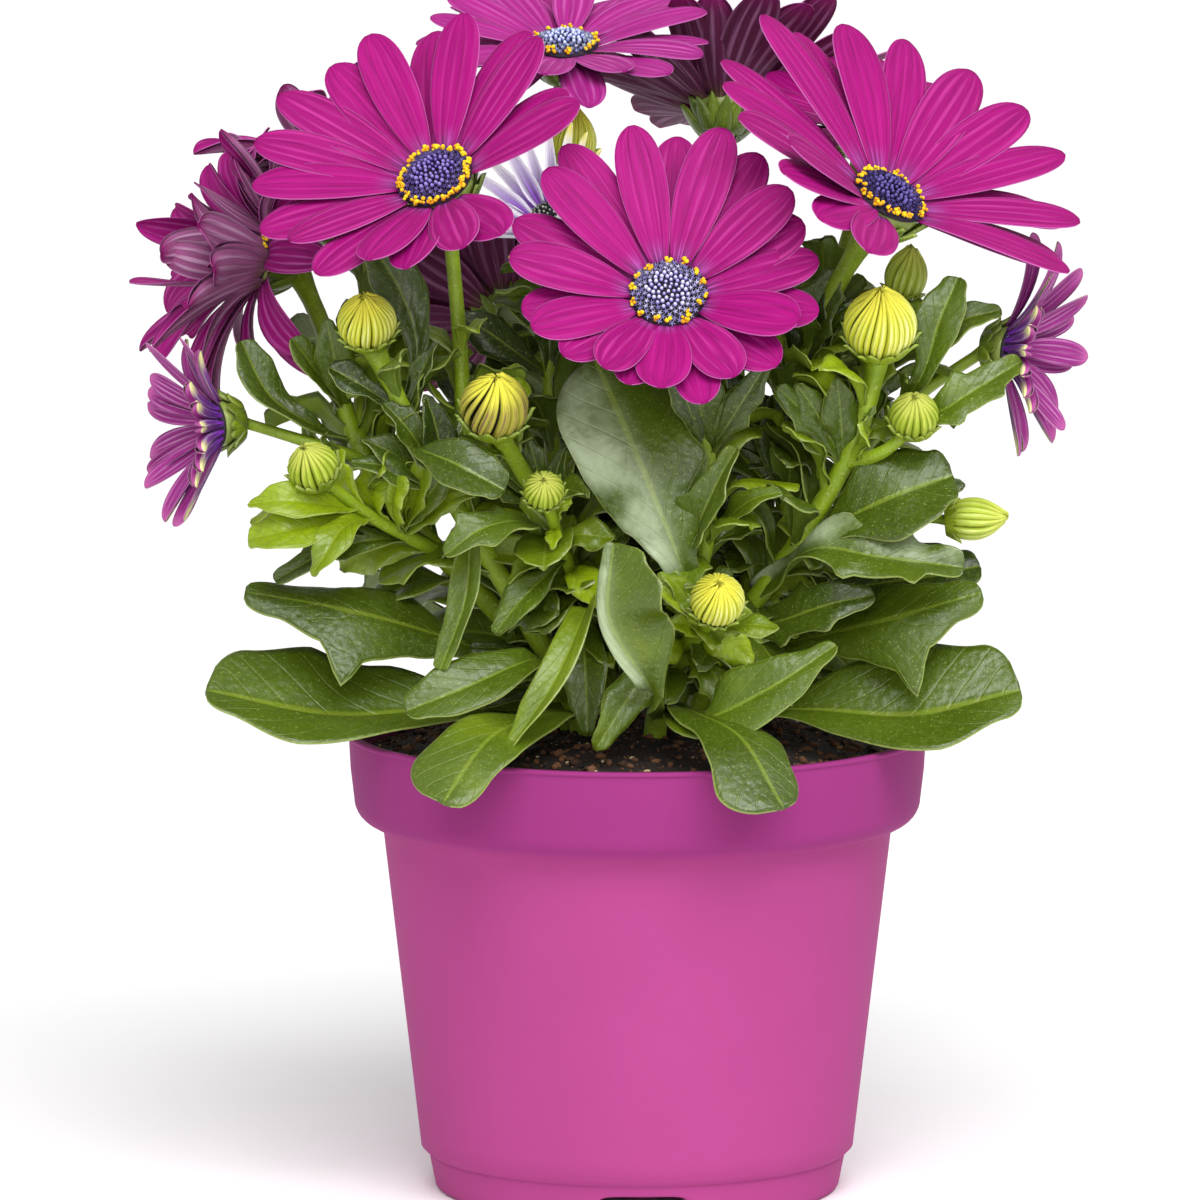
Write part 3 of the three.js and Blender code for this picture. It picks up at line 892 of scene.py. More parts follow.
@dataclass(frozen=True)
class Petal:
    """One petal, in millimetres and degrees, as seen by someone whom its flower faces.

    Attributes:
        turn: its place round the head, 0 to the right and 90 up.
        length: from its foot to its tip.
        width: at its widest.
        lift: how steeply it leaves the head.
        droop: how much that slope falls off by its tip.
        roll: how far its section bends at the foot, edges towards the face if it is positive.
        tip_roll: the same at the tip.
        twist: how far its tip is turned about its length.
        sway: how far its tip leans sideways, as a share of its length.
        sink: how far its foot stands below the ring.
        tone: its shade, from 0 to 1.
        peak: where along it the petal is widest.
        blunt: its width at the tip, as a share of its widest.
        fullness: how long it stays wide before it narrows to its tip.
    """

    turn: float
    length: float
    width: float
    lift: float
    droop: float
    roll: float
    tip_roll: float
    twist: float = 0.0
    sway: float = 0.0
    sink: float = 0.0
    tone: float = 0.5
    peak: float = 0.62
    blunt: float = 0.16
    fullness: float = 2.6

    FOOT = 0.24  # its width at the foot, as a share of its widest
    THICKNESS = 0.42
    FURROW = 0.32  # the depth of the furrow in each half
    FURROW_AT = 0.36  # how far out the furrow runs, as a share of half the width
    FURROW_WIDTH = 0.1
    COLUMNS = 8
    ROWS = 16

    def half_width(self, share: float) -> float:
        """Half its width.

        Args:
            share: the place along it, from 0 to 1.

        Returns:
            Half its width there.
        """
        if share < self.peak:
            return self.width / 2 * blend(self.FOOT, 1.0, quarter(share / self.peak) ** 0.9)
        fall = ((share - self.peak) / (1 - self.peak)) ** self.fullness
        return self.width / 2 * max(self.blunt, math.sqrt(max(0.0, 1 - fall)))

    def centre(self, share: float) -> Triple:
        """Its middle line, an arc.

        Args:
            share: the place along it, from 0 to 1.

        Returns:
            How far out and how far up it is there, and its slope, in radians.
        """
        start, fall = math.radians(self.lift), math.radians(self.droop)
        slope = start - fall * share
        if abs(fall) < 1e-3:
            return self.length * share * math.cos(start), self.length * share * math.sin(start), slope
        scale = self.length / fall
        return scale * (math.sin(start) - math.sin(slope)), scale * (math.cos(slope) - math.cos(start)), slope

    def add_to(self, work: Sculpture, head: Head, ring: float) -> None:
        """Adds the petal to a mesh, with its back in the second finish.

        Args:
            work: the mesh.
            head: the head that it stands on.
            ring: the radius of the head's ring of petals.
        """
        right, up, facing = head.axes
        out, side = twisted(right, up, math.radians(self.turn))
        origin = Vector(head.at) - facing * self.sink + out * ring
        verts, under = work.slab(self.COLUMNS, self.ROWS)
        for vert in verts:
            x, row, layer = vert.co.x, (vert.co.y + 1) / 2, vert.co.z
            share = blend(row, quarter(row), 0.85)  # the rows stand closer towards the tip
            reach, rise, slope = self.centre(share)
            normal = facing * math.cos(slope) - out * math.sin(slope)
            across, normal = twisted(side, normal, math.radians(self.twist) * share * share)
            bend = math.radians(blend(self.roll, self.tip_roll, share))
            half = self.half_width(share)
            flat, high = half * x, 0.0
            if abs(bend) > 1e-3:
                flat, high = half * math.sin(bend * x) / bend, half * (1 - math.cos(bend * x)) / bend
            furrow = self.FURROW * math.exp(-(((abs(x) - self.FURROW_AT) / self.FURROW_WIDTH) ** 2))
            high += self.THICKNESS * (layer - 0.5) * (1 - 0.5 * x * x) - furrow * math.sin(math.pi * share)
            vert.co = origin + out * reach + facing * rise + across * flat + normal * high
            vert.co += side * (self.sway * self.length * share * share)
            vert[work.tone] = self.tone
        for face in under:
            face.material_index = 1


@dataclass(frozen=True)
class Habit:
    """How the petals of a kind of flower grow: a pair is a middle and how far it strays.

    Attributes:
        width, lift, droop, roll, tip_roll: as a petal's.
        twist, sway: how far these stray from 0.
        stray: how much shorter a petal may be, as a share of half its length.
        face: the finish of the petals' upper side.
        back: the finish of their back.
        blunt, peak, fullness: as a petal's.
    """

    width: Pair
    lift: Pair
    droop: Pair
    roll: Pair
    tip_roll: Pair
    twist: float
    sway: float
    stray: float
    face: PetalFinish
    back: PetalFinish = BACK
    blunt: float = 0.16
    peak: float = 0.62
    fullness: float = 2.6


class Habits(Enum):
    """The kinds of flower on the plant."""

    OPEN = Habit((10.6, 0.8), (6, 5), (12, 8), (12, 10), (4, 10), 7, 0.04, 0.08, VIVID)
    PALE = Habit((9.4, 0.8), (4, 6), (14, 10), (16, 12), (10, 12), 10, 0.05, 0.1, ROSY)
    DARK = Habit((10.0, 1.0), (8, 8), (-4, 18), (26, 16), (20, 24), 22, 0.1, 0.12, DEEP)
    CURLED = Habit((8.8, 1.6), (12, 54), (40, 60), (30, 44), (40, 60), 46, 0.2, 0.16, DEEP, ASHEN)
    SMALL = Habit((6.0, 0.8), (4, 14), (6, 34), (50, 40), (40, 60), 30, 0.12, 0.16, YOUNG, TIPPED, 0.06)
    HALF_OPEN = Habit(
        (4.6, 0.4), (8, 8), (4, 12), (50, 14), (90, 20), 8, 0.06, 0.08, QUILL, QUILL, 0.04, 0.3, 1.1
    )


@dataclass(frozen=True)
class Disc:
    """A flower's middle: the finish of its florets, and how many lumps of pollen it carries."""

    florets: FloretFinish
    pollen: int = 0


@dataclass
class FloretKit:
    """The small shapes that the middles of the flowers are set with."""

    closed: bpy.types.Mesh = field(init=False)
    star: bpy.types.Mesh = field(init=False)
    grain: bpy.types.Mesh = field(init=False)

    def __post_init__(self) -> None:
        """Models each shape once."""
        self.closed = self.closed_floret()
        self.star = self.open_floret()
        self.grain = self.pollen_grain()

    @staticmethod
    def closed_floret() -> bpy.types.Mesh:
        """Models a floret that is still shut: an upright drop 1 mm wide.

        Returns:
            The template.
        """
        work = Sculpture("floret_closed")
        bmesh.ops.create_uvsphere(work.bm, u_segments=7, v_segments=5, radius=0.5)
        bmesh.ops.scale(work.bm, vec=(1, 1, 1.7), verts=work.bm.verts)
        return work.template()

    @staticmethod
    def open_floret() -> bpy.types.Mesh:
        """Models an open floret: a narrow tube with five pointed lobes that spread at its mouth.

        Returns:
            The template.
        """
        work = Sculpture("floret_open")
        work.turn([(0.0, -1.0), (0.22, -1.0), (0.3, 0.1), (0.72, 0.55), (0.3, 0.4), (0.0, 0.15)], 10)
        for vert in work.bm.verts:
            if math.hypot(vert.co.x, vert.co.y) > 0.5:
                lobe = 0.62 + 0.38 * math.cos(math.atan2(vert.co.y, vert.co.x) * 5)
                vert.co = (vert.co.x * lobe, vert.co.y * lobe, vert.co.z + 0.3 * (lobe - 0.5))
        return work.template()

    @staticmethod
    def pollen_grain() -> bpy.types.Mesh:
        """Models a lump of pollen.

        Returns:
            The template.
        """
        work = Sculpture("pollen_grain")
        bmesh.ops.create_icosphere(work.bm, subdivisions=1, radius=0.34)
        return work.template()

    def discard(self) -> None:
        """Removes the templates, which are no pieces themselves."""
        for mesh in (self.closed, self.star, self.grain):
            bpy.data.meshes.remove(mesh)


@dataclass(frozen=True)
class Bloom:
    """A flower: its ring of petals, its middle of florets and pollen, and the green cup under it.

    Attributes:
        name: what the CAD nodes call it.
        head: where it sits and faces.
        reach: from its centre to its petals' tips, in millimetres.
        petals: how many it has.
        cup: how far its petals stand up from flat, in degrees.
        disc: the radius of its middle.
        habit: how its petals grow.
        middle: the finish of its middle.
        long_side: where round the head its petals are longest, 0 to the right and 90 up.
        lopsided: how much longer they are there than across from there, as a share.
        oval: how much longer they are on that line than on the line across it, as a share.
        gap: where round the head it has lost its petals, from one angle to another.
        extra: petals that stand out of line.
    """

    name: str
    head: Head
    reach: float
    petals: int
    cup: float
    disc: float
    habit: Habits = Habits.OPEN
    middle: Disc = Disc(VIOLET, 16)
    long_side: float = 90.0
    lopsided: float = 0.0
    oval: float = 0.0
    gap: Pair = (0.0, 0.0)
    extra: tuple[Petal, ...] = ()

    DOME = 1.92  # how far the florets' dome rises, in millimetres
    LEAN = math.radians(26)  # how far the outermost florets lean outwards
    STALK = 2.3  # the radius of the cup at its stalk
    BRACTS = 17

    @property
    def depth(self) -> float:
        """How far the green cup reaches behind the flower's face."""
        return 1.1 * self.disc + 0.2

    def build(self, kit: FloretKit) -> None:
        """Builds the flower's pieces.

        Args:
            kit: the shapes for its middle.
        """
        self.build_petals()
        self.build_middle(kit)
        self.build_cup()
        self.build_floor()

    def ring(self) -> list[Petal]:
        """Grows its petals, each a little different from the next.

        Returns:
            The petals.
        """
        habit, chance = self.habit.value, random.Random(self.name)
        made = []
        for turn, length, layer in self.rays(chance):
            lift, droop, roll, tip_roll = (
                chance.gauss(middle, stray / 2)
                for middle, stray in (habit.lift, habit.droop, habit.roll, habit.tip_roll)
            )
            shape = dict(
                width=habit.width[0] * chance.uniform(0.92, 1.08) * (0.9 if length < 20 else 1.0),
                lift=self.cup + lift - 5 * layer,
                droop=droop,
                roll=roll,
                tip_roll=tip_roll,
                twist=chance.gauss(0, habit.twist / 2),
                sway=chance.gauss(0, habit.sway / 2),
                sink=0.2 + 0.8 * layer + chance.uniform(0, 0.5),
                tone=chance.random(),
            )
            made.append(
                Petal(turn, length, **shape, peak=habit.peak, blunt=habit.blunt, fullness=habit.fullness)
            )
        return [*made, *self.extra]

    def rays(self, chance: random.Random) -> Iterable[tuple[float, float, int]]:
        """Spreads the petals round the head, in two layers.

        Args:
            chance: the source of their unevenness.

        Yields:
            Each petal's angle, length and layer.
        """
        start, end = self.gap
        step = (360 - (end - start)) / self.petals
        length = self.reach - self.disc * 0.8
        stray = self.habit.value.stray
        for i in range(self.petals):
            turn = end + step * (i + 0.5 + chance.uniform(-0.24, 0.24))
            away = math.radians(turn - self.long_side)
            shape = 1 + self.lopsided * math.cos(away) + self.oval * math.cos(2 * away)
            yield turn, length * shape * (1 - chance.uniform(0, 2 * stray)), i % 2

    def build_petals(self) -> None:
        """Builds the ring of petals."""
        habit = self.habit.value
        work = Sculpture(f"bloom_{self.name}_petals", habit.face, habit.back)
        for petal in self.ring():
            petal.add_to(work, self.head, self.disc * 0.84)
        work.finish("petal", f"flower_{self.name}_petals")

    def build_middle(self, kit: FloretKit) -> None:
        """Builds the dome of florets, opening from its edge inwards, with pollen round it.

        Args:
            kit: the shapes of its florets and pollen.
        """
        chance = random.Random(f"{self.name} middle")
        work = Sculpture(f"bloom_{self.name}_disc", self.middle.florets)
        florets = round(2.3 * self.disc * self.disc)
        for i in range(florets):
            share = math.sqrt((i + 0.5) / florets)
            height = 0.7 + self.DOME * (1 - share * share) + chance.uniform(-0.1, 0.2)
            shape, size = (kit.star, 1.0) if share > 0.6 else (kit.closed, 1.1)
            size *= blend(0.62, 1.12, share) * self.disc / 8
            place = self.spot(self.disc * 0.93 * share, i * GOLDEN_ANGLE, height, size, share, chance)
            work.stamp(shape, place, chance.random() * (1.0 if share < 0.86 else 0.3))
        work.finish("disc")
        if self.middle.pollen:
            self.build_pollen(kit, chance)

    def build_pollen(self, kit: FloretKit, chance: random.Random) -> None:
        """Builds the lumps of pollen round the edge of the dome.

        Args:
            kit: the shape of a grain.
            chance: the source of their unevenness.
        """
        work = Sculpture(f"bloom_{self.name}_pollen", POLLEN)
        for i in range(self.middle.pollen):
            angle = math.tau * (i + chance.uniform(-0.45, 0.45)) / self.middle.pollen
            radius = self.disc * chance.uniform(0.84, 0.98)
            for _ in range(chance.randint(2, 7)):
                turn = angle + chance.uniform(-0.08, 0.08)
                height = 1.5 + chance.uniform(-0.4, 0.7)
                size = chance.uniform(0.95, 1.6)
                place = self.spot(radius + chance.uniform(-0.5, 0.5), turn, height, size, 1.0, chance)
                work.stamp(kit.grain, place, chance.random())
        work.finish("disc")

    def spot(
        self, out: float, angle: float, height: float, size: float, edge: float, chance: random.Random
    ) -> Matrix:
        """Where a floret or a grain stands.

        Args:
            out: how far it is from the head's axis.
            angle: where it is round the axis, in radians.
            height: how high it is on the head.
            size: how many times as large as its template it is.
            edge: how near it is to the edge, from 0 to 1: the nearer, the more it leans outwards.
            chance: the source of its unevenness.

        Returns:
            The transform from the template.
        """
        tilt = Matrix.Rotation(self.LEAN * edge * edge + chance.uniform(-0.12, 0.12), 4, "Y")
        spin = Matrix.Rotation(chance.uniform(0, math.tau), 4, "Z")
        place = Matrix.Rotation(angle, 4, "Z") @ Matrix.Translation((out, 0, height))
        return self.head.matrix() @ place @ tilt @ spin @ Matrix.Scale(size, 4)

    def build_cup(self) -> None:
        """Builds the green cup with its bracts."""
        chance = random.Random(f"{self.name} cup")
        work = Sculpture(f"bloom_{self.name}_cup", BRACT)
        swell = ((0.62, 0.72), (0.86, 0.42), (0.95, 0.16))
        bowl = [(self.disc * out, -self.depth * down) for out, down in swell]
        base = [(0, -self.depth), (self.STALK, -self.depth)]
        work.turn([*base, *bowl, (self.disc * 0.9, 0.2), (0, 0.4)], 40, 0.35)
        work.stand(self.head)
        for i in range(self.BRACTS):
            strip = Strip(
                angle=math.tau * (i + chance.uniform(-0.15, 0.15)) / self.BRACTS,
                profile=lambda share, outer=i % 2: self.bract_line(share, outer),
                half_width=lambda share: 1.9 * (1 - share**2.2) + 0.12,
                thickness=0.6,
                bulge=0.45,
                tone=chance.uniform(0.2, 0.75),
            )
            strip.add_to(work, self.head)
        work.finish("bud", f"flower_{self.name}_head")

    def bract_line(self, share: float, outer: int) -> Pair:
        """The line that a bract follows from the stalk to its tip.

        Args:
            share: the place along it, from 0 to 1.
            outer: 1 if it belongs to the outer ring, or else 0.

        Returns:
            Its radius and height there.
        """
        height = blend(-self.depth + 0.6, -0.6 - outer, share)
        swell = quarter(min(1.0, (height + self.depth) / self.depth)) ** 0.7
        return blend(self.STALK, self.disc * 1.02, swell) + 0.2 + 0.5 * outer + 0.9 * share**4, height

    def build_floor(self) -> None:
        """Builds the dark floor that the florets stand on."""
        work = Sculpture(f"bloom_{self.name}_floor", PLATE)
        rows = ((0, 0.0), (0.97, 0.0), (1, 0.35), (0.8, 1.0), (0.4, 1.6), (0, 1.8))
        work.turn([(self.disc * out, height) for out, height in rows], 32)
        work.stand(self.head)
        work.finish("disc")


@dataclass(frozen=True)
class BudHabit:
    """How a kind of bud looks.

    Attributes:
        rolls: how many rolled petals it shows.
        finish: their finish.
        bract_reach: how far up the bracts go, as a share of the bud's length.
        bract_tone: how young they are.
        spiral: how far the rolled petals wind round it, in radians.
        cover: how much of the way round they fill.
        stray: how unevenly they stand, as a share of their spacing.
        gap: the finish between them.
    """

    rolls: int
    finish: PetalFinish
    bract_reach: float
    bract_tone: float
    spiral: float = 0.3
    cover: float = 1.1
    stray: float = 0.2
    gap: PowderFinish = BUD_GAP


class BudHabits(Enum):
    """The kinds of bud on the plant."""

    RIPE = BudHabit(30, BUD_YELLOW, 0.32, 0.8)
    GREEN = BudHabit(20, BUD_GREEN, 0.5, 0.75, 0.15)
    PALE = BudHabit(16, BUD_PALE, 0.26, 0.8)
    STRIPED = BudHabit(22, BUD_STRIPED, 0.4, 0.6, 0.5, 0.95, 0.45, BUD_SHADED_CORE)


@dataclass(frozen=True)
class Bud:
    """A closed bud: rolled petals that meet at its top, in a cup of bracts."""

    name: str
    head: Head
    radius: float
    length: float
    habit: BudHabits = BudHabits.RIPE

    BRACTS = 14
    HEART = 0.88  # how far out the rolled petals lie, as a share of the radius
    FOOT = 0.08  # how far up the rolled petals start, as a share of the length

    def outline(self, share: float) -> Pair:
        """Its radius and height at a share of its length."""
        swell = math.sin(math.pi * min(0.985, 0.12 + 0.86 * share)) ** 0.6
        return self.radius * self.HEART * swell, self.length * (share - 0.5)

    def build(self) -> None:
        """Builds the bud as one piece."""
        habit, chance = self.habit.value, random.Random(self.name)
        work = Sculpture(f"closed_bud_{self.name}", BRACT, habit.finish, habit.gap)
        core = [self.outline(step / 10) for step in range(11)]
        shrunk = [(radius * (0.92 - 0.03 * step), height) for step, (radius, height) in enumerate(core)]
        work.turn([(0, shrunk[0][1]), *shrunk, (0, shrunk[-1][1])], 24, 0.0)
        work.stand(self.head)
        for face in work.bm.faces:
            face.material_index = 2
        core_faces = set(work.bm.faces)
        for i in range(habit.rolls):
            self.roll(i, chance).add_to(work, self.head)
        for face in set(work.bm.faces) - core_faces:
            face.material_index = 1
        for i in range(self.BRACTS):
            self.bract(i, chance).add_to(work, self.head)
        work.finish("bud", f"bud_{self.name}")

    def roll(self, i: int, chance: random.Random) -> Strip:
        """Makes a rolled petal.

        Args:
            i: which one.
            chance: the source of its unevenness.

        Returns:
            The petal.
        """
        habit = self.habit.value
        reach, stray = chance.uniform(0.95, 1.03), chance.uniform(0.0, 0.16) * self.radius
        return Strip(
            angle=math.tau * (i + chance.uniform(-1, 1) * habit.stray) / habit.rolls,
            profile=lambda share: self.roll_line(share, reach, stray),
            half_width=self.roll_half_width,
            spiral=habit.spiral,
            bulge=self.radius * 0.08,
            lap=self.radius * 0.06,
            tone=chance.random(),
            rows=14,
        )

    def roll_line(self, share: float, reach: float, stray: float) -> Pair:
        """The line that a rolled petal follows.

        Args:
            share: the place along it, from 0 to 1.
            reach: how far up the bud it goes, as a share.
            stray: how far its tip sticks out.

        Returns:
            Its radius and height there.
        """
        radius, height = self.outline(blend(self.FOOT, self.FOOT + (1 - self.FOOT) * reach, share))
        return radius * (1 - 0.6 * share**8) + 0.3 * stray * share**6, height + stray * share**6

    def roll_half_width(self, share: float) -> float:
        """Half the width of a rolled petal at a share of its length."""
        radius, _ = self.outline(blend(self.FOOT, 1, share))
        return max(0.16, radius * math.pi / self.habit.value.rolls * self.habit.value.cover)

    def bract(self, i: int, chance: random.Random) -> Strip:
        """Makes a bract.

        Args:
            i: which one.
            chance: the source of its unevenness.

        Returns:
            The bract.
        """
        habit = self.habit.value
        reach = habit.bract_reach * chance.uniform(0.85, 1.1) * (0.8 if i % 2 else 1.0)
        return Strip(
            angle=math.tau * (i + chance.uniform(-0.2, 0.2)) / self.BRACTS,
            profile=lambda share: self.bract_line(share, reach),
            half_width=lambda share: self.radius * 0.27 * (1 - share**1.9) + 0.08,
            thickness=0.55,
            bulge=self.radius * 0.05,
            tone=habit.bract_tone + chance.uniform(-0.2, 0.2),
        )

    def bract_line(self, share: float, reach: float) -> Pair:
        """The radius and height of a bract that goes up a share of the bud, at a share of its length."""
        radius, height = self.outline(share * reach)
        return radius + 0.3 + self.radius * (0.08 + 0.12 * share**4), height - 0.2


# ---------------------------------------------------------------- leaves


class Outline(Enum):
    """A leaf's shape: rows of share of its length, and of half its width on the two sides of its midrib.

    The first side is the upper one of a leaf that grows to the left, or the lower one of a leaf
    that grows to the right.
    """

    SPOON = (
        (0, 0.16, 0.16), (0.2, 0.2, 0.2), (0.42, 0.5, 0.5), (0.66, 1, 1), (0.82, 0.95, 0.92),
        (0.94, 0.62, 0.6), (1, 0.16, 0.16),
    )
    SPEAR = (
        (0, 0.2, 0.2), (0.2, 0.34, 0.34), (0.45, 0.8, 0.8), (0.62, 1, 1), (0.8, 0.72, 0.72),
        (0.93, 0.34, 0.34), (1, 0.06, 0.06),
    )
    TOOTHED = (
        (0, 0.2, 0.2), (0.22, 0.3, 0.26), (0.38, 0.62, 0.5), (0.47, 0.98, 0.62), (0.51, 0.66, 0.72),
        (0.6, 0.72, 1), (0.65, 0.76, 0.66), (0.74, 0.95, 0.64), (0.79, 0.58, 0.6), (0.9, 0.4, 0.42),
        (1, 0.08, 0.08),
    )
    NOTCHED = (
        (0, 0.2, 0.2), (0.25, 0.3, 0.34), (0.5, 0.6, 0.85), (0.56, 0.95, 0.6), (0.6, 0.66, 0.62),
        (0.76, 0.7, 1), (0.81, 1, 0.6), (0.86, 0.55, 0.5), (1, 0.1, 0.1),
    )
    STRAP = ((0, 0.7, 0.7), (0.3, 0.8, 0.8), (0.6, 1, 1), (0.85, 0.85, 0.85), (0.96, 0.5, 0.5), (1, 0.2, 0.2))
    PADDLE = (
        (0, 0.2, 0.2), (0.3, 0.25, 0.25), (0.5, 0.85, 0.55), (0.75, 1.2, 0.9), (0.92, 0.9, 0.5), (1, 0.1, 0.1)
    )
    LOBED = (
        (0, 0.2, 0.2), (0.35, 0.3, 0.3), (0.5, 1.1, 0.6), (0.64, 0.95, 1), (0.7, 0.85, 1.7),
        (0.77, 0.7, 0.8), (0.9, 0.45, 0.4), (1, 0.1, 0.1),
    )
    APRON = ((0, 0.3, 0.3), (0.5, 0.5, 0.5), (0.75, 0.95, 0.75), (0.88, 1.15, 0.6), (1, 0.15, 0.15))
    BLADE = (
        (0, 0.2, 0.2), (0.5, 0.35, 0.2), (0.65, 1.25, 0.25), (0.88, 1.5, 0.25), (0.96, 0.9, 0.2),
        (1, 0.1, 0.1),
    )
    CROWN = (
        (0, 0.15, 0.15), (0.3, 0.3, 0.3), (0.4, 0.8, 0.5), (0.47, 0.72, 0.7), (0.58, 1.1, 0.85),
        (0.66, 0.95, 0.95), (0.8, 1.05, 1), (1, 0.15, 0.1),
    )

    def sides(self, share: float) -> Pair:
        """Its half widths, smooth between the rows and rounded off in the last stretch.

        Args:
            share: the place along it, from 0 to 1.

        Returns:
            The half widths on both sides there.
        """
        rows = self.value
        low, high = next(pair for pair in zip(rows, rows[1:]) if share <= pair[1][0])
        part = (share - low[0]) / (high[0] - low[0])
        if high is rows[-1]:
            part = 1 - math.sqrt(max(0.0, 1 - part * part))
        else:
            part = blend(part, ease(0, 1, part), 0.6)
        return blend(low[1], high[1], part), blend(low[2], high[2], part)


SMALL_SHAPES = (Outline.TOOTHED, Outline.NOTCHED, Outline.SPEAR, Outline.SPOON)


@dataclass(frozen=True)
class Leaf:
    """One leaf, in millimetres and degrees.

    Attributes:
        points: the course of its midrib, from the stem to its tip.
        facing: the direction that its upper side looks in.
        width: its width, apart from lobes.
        outline: its shape.
        fold: how far its two halves rise about the midrib.
        tone: from 0, old and dark, to 1, young and lime.
        curl: how much further its margins rise.
        twist: how far its tip is turned about its length.
        wave: how far its margins rise and fall.
        thickness: its thickness.
        mirrored: whether the two sides of its outline change places.
        unfold: how much of its fold it has lost at its tip.
    """

    points: tuple[Sequence[float], ...]
    facing: Vector
    width: float
    outline: Outline
    fold: float
    tone: float
    curl: float = 0.0
    twist: float = 0.0
    wave: float = 0.6
    thickness: float = 0.9
    mirrored: bool = False
    unfold: float = 0.0

    WAVES = 13.0  # how many radians of waves its margins have
    LEAD = 2.2  # how many radians one margin's waves are ahead of the other's
    QUILT = 0.3  # how far it swells between its side veins
    VEINS = 8.0  # side veins on each half
    SLANT = 1.6  # how many side veins' spacings one rises towards the margin
    GROOVE, GROOVE_WIDTH = 0.35, 0.9  # of the groove above its midrib
    RIB, RIB_WIDTH = 0.7, 0.8  # of the midrib below it

    @cached_property
    def path(self) -> Path:
        """The course of its midrib as a curve."""
        return Path(self.points)

    def axes(self, share: float) -> tuple[Vector, Vector, Vector]:
        """Its middle line.

        Args:
            share: the place along it, from 0 to 1.

        Returns:
            The point there, and the directions across the leaf and out of its upper side.
        """
        ahead = self.path.tangent(share)
        side = ahead.cross(self.facing).normalized()
        return self.path.at(share), *twisted(side, side.cross(ahead), math.radians(self.twist) * share)

    def section(self, x: float, share: float, layer: float) -> Pair:
        """The leaf's section across its middle line.

        Args:
            x: the place across it, from -1 to 1.
            share: the place along it, from 0 to 1.
            layer: 0 on its back and 1 on its upper side.

        Returns:
            How far across and how far up a point of its surface is.
        """
        far = abs(x)
        half = self.width / 2 * self.outline.sides(share)[int((x > 0) == self.mirrored)]
        fold = self.fold * (1 - self.unfold * share * share)
        bend = math.radians(fold * far / (far + 0.08) + self.curl * far)
        phase = self.points[0][0] + self.points[-1][2] + (self.LEAD if x > 0 else 0)
        high = half * far * math.sin(bend)
        high += self.wave * far * far * math.sin(phase + share * self.WAVES)
        swell = self.QUILT * math.sin(math.pi * share) * far * (1 - far)
        high += swell * math.sin(math.tau * (share * self.VEINS - far * self.SLANT))
        high -= self.GROOVE * math.exp(-((far * half / self.GROOVE_WIDTH) ** 2))
        high -= self.RIB * math.exp(-((far * half / self.RIB_WIDTH) ** 2)) * (1 - layer) * (1 - 0.7 * share)
        high += self.thickness * (layer - 0.5) * (1 - 0.5 * far**4)
        return half * x * math.cos(bend), high

    def add_to(self, work: Sculpture, columns: int, rows: int) -> None:
        """Adds the leaf to a mesh, with its back in the second finish.

        Args:
            work: the mesh.
            columns: faces across.
            rows: faces along, closer to each other towards the tip.
        """
        shares = [blend(row / rows, quarter(row / rows), 0.6) for row in range(rows + 1)]
        spine = [self.axes(share) for share in shares]
        verts, under = work.slab(columns, rows)
        for vert in verts:
            row = round((vert.co.y + 1) / 2 * rows)
            centre, side, up = spine[row]
            flat, high = self.section(vert.co.x, shares[row], vert.co.z)
            vert.co = centre + side * flat + up * high
            vert[work.tone] = self.tone
        for face in under:
            face.material_index = 1


@dataclass(frozen=True)
class NamedLeaf:
    """A large leaf that is a piece of its own, with or without a CAD node."""

    name: str
    leaf: Leaf
    finish: LeafFinish = LEAF
    has_node: bool = True

    def build(self) -> None:
        """Builds the leaf."""
        work = Sculpture(f"blade_{self.name}", self.finish, LEAF_BACK)
        self.leaf.add_to(work, 16, 40)
        nodes = (f"leaf_{self.name}",) if self.has_node else ()
        work.finish("leaf", *nodes)


# ---------------------------------------------------------------- shoots


@dataclass(frozen=True)
class Spread:
    """How far small leaves differ: the ends of their fold and curl, and how far their tone strays."""

    fold: Pair
    curl: Pair
    tone: float

    def leaf(
        self, course: Iterable[Vector], facing: Vector, width: float, tone: float, chance: random.Random
    ) -> Leaf:
        """Makes one small leaf.

        Args:
            course: where its midrib passes.
            facing: the direction that its upper side looks in, of any length.
            width: its width.
            tone: how young it is on average.
            chance: the source of its unevenness.

        Returns:
            The leaf.
        """
        return Leaf(
            tuple(course),
            facing.normalized(),
            width,
            outline=chance.choice(SMALL_SHAPES),
            fold=chance.uniform(*self.fold),
            curl=chance.uniform(*self.curl),
            twist=chance.uniform(-24, 24),
            wave=chance.uniform(0.3, 1.0),
            tone=tone + chance.uniform(-self.tone, self.tone),
            thickness=0.7,
        )


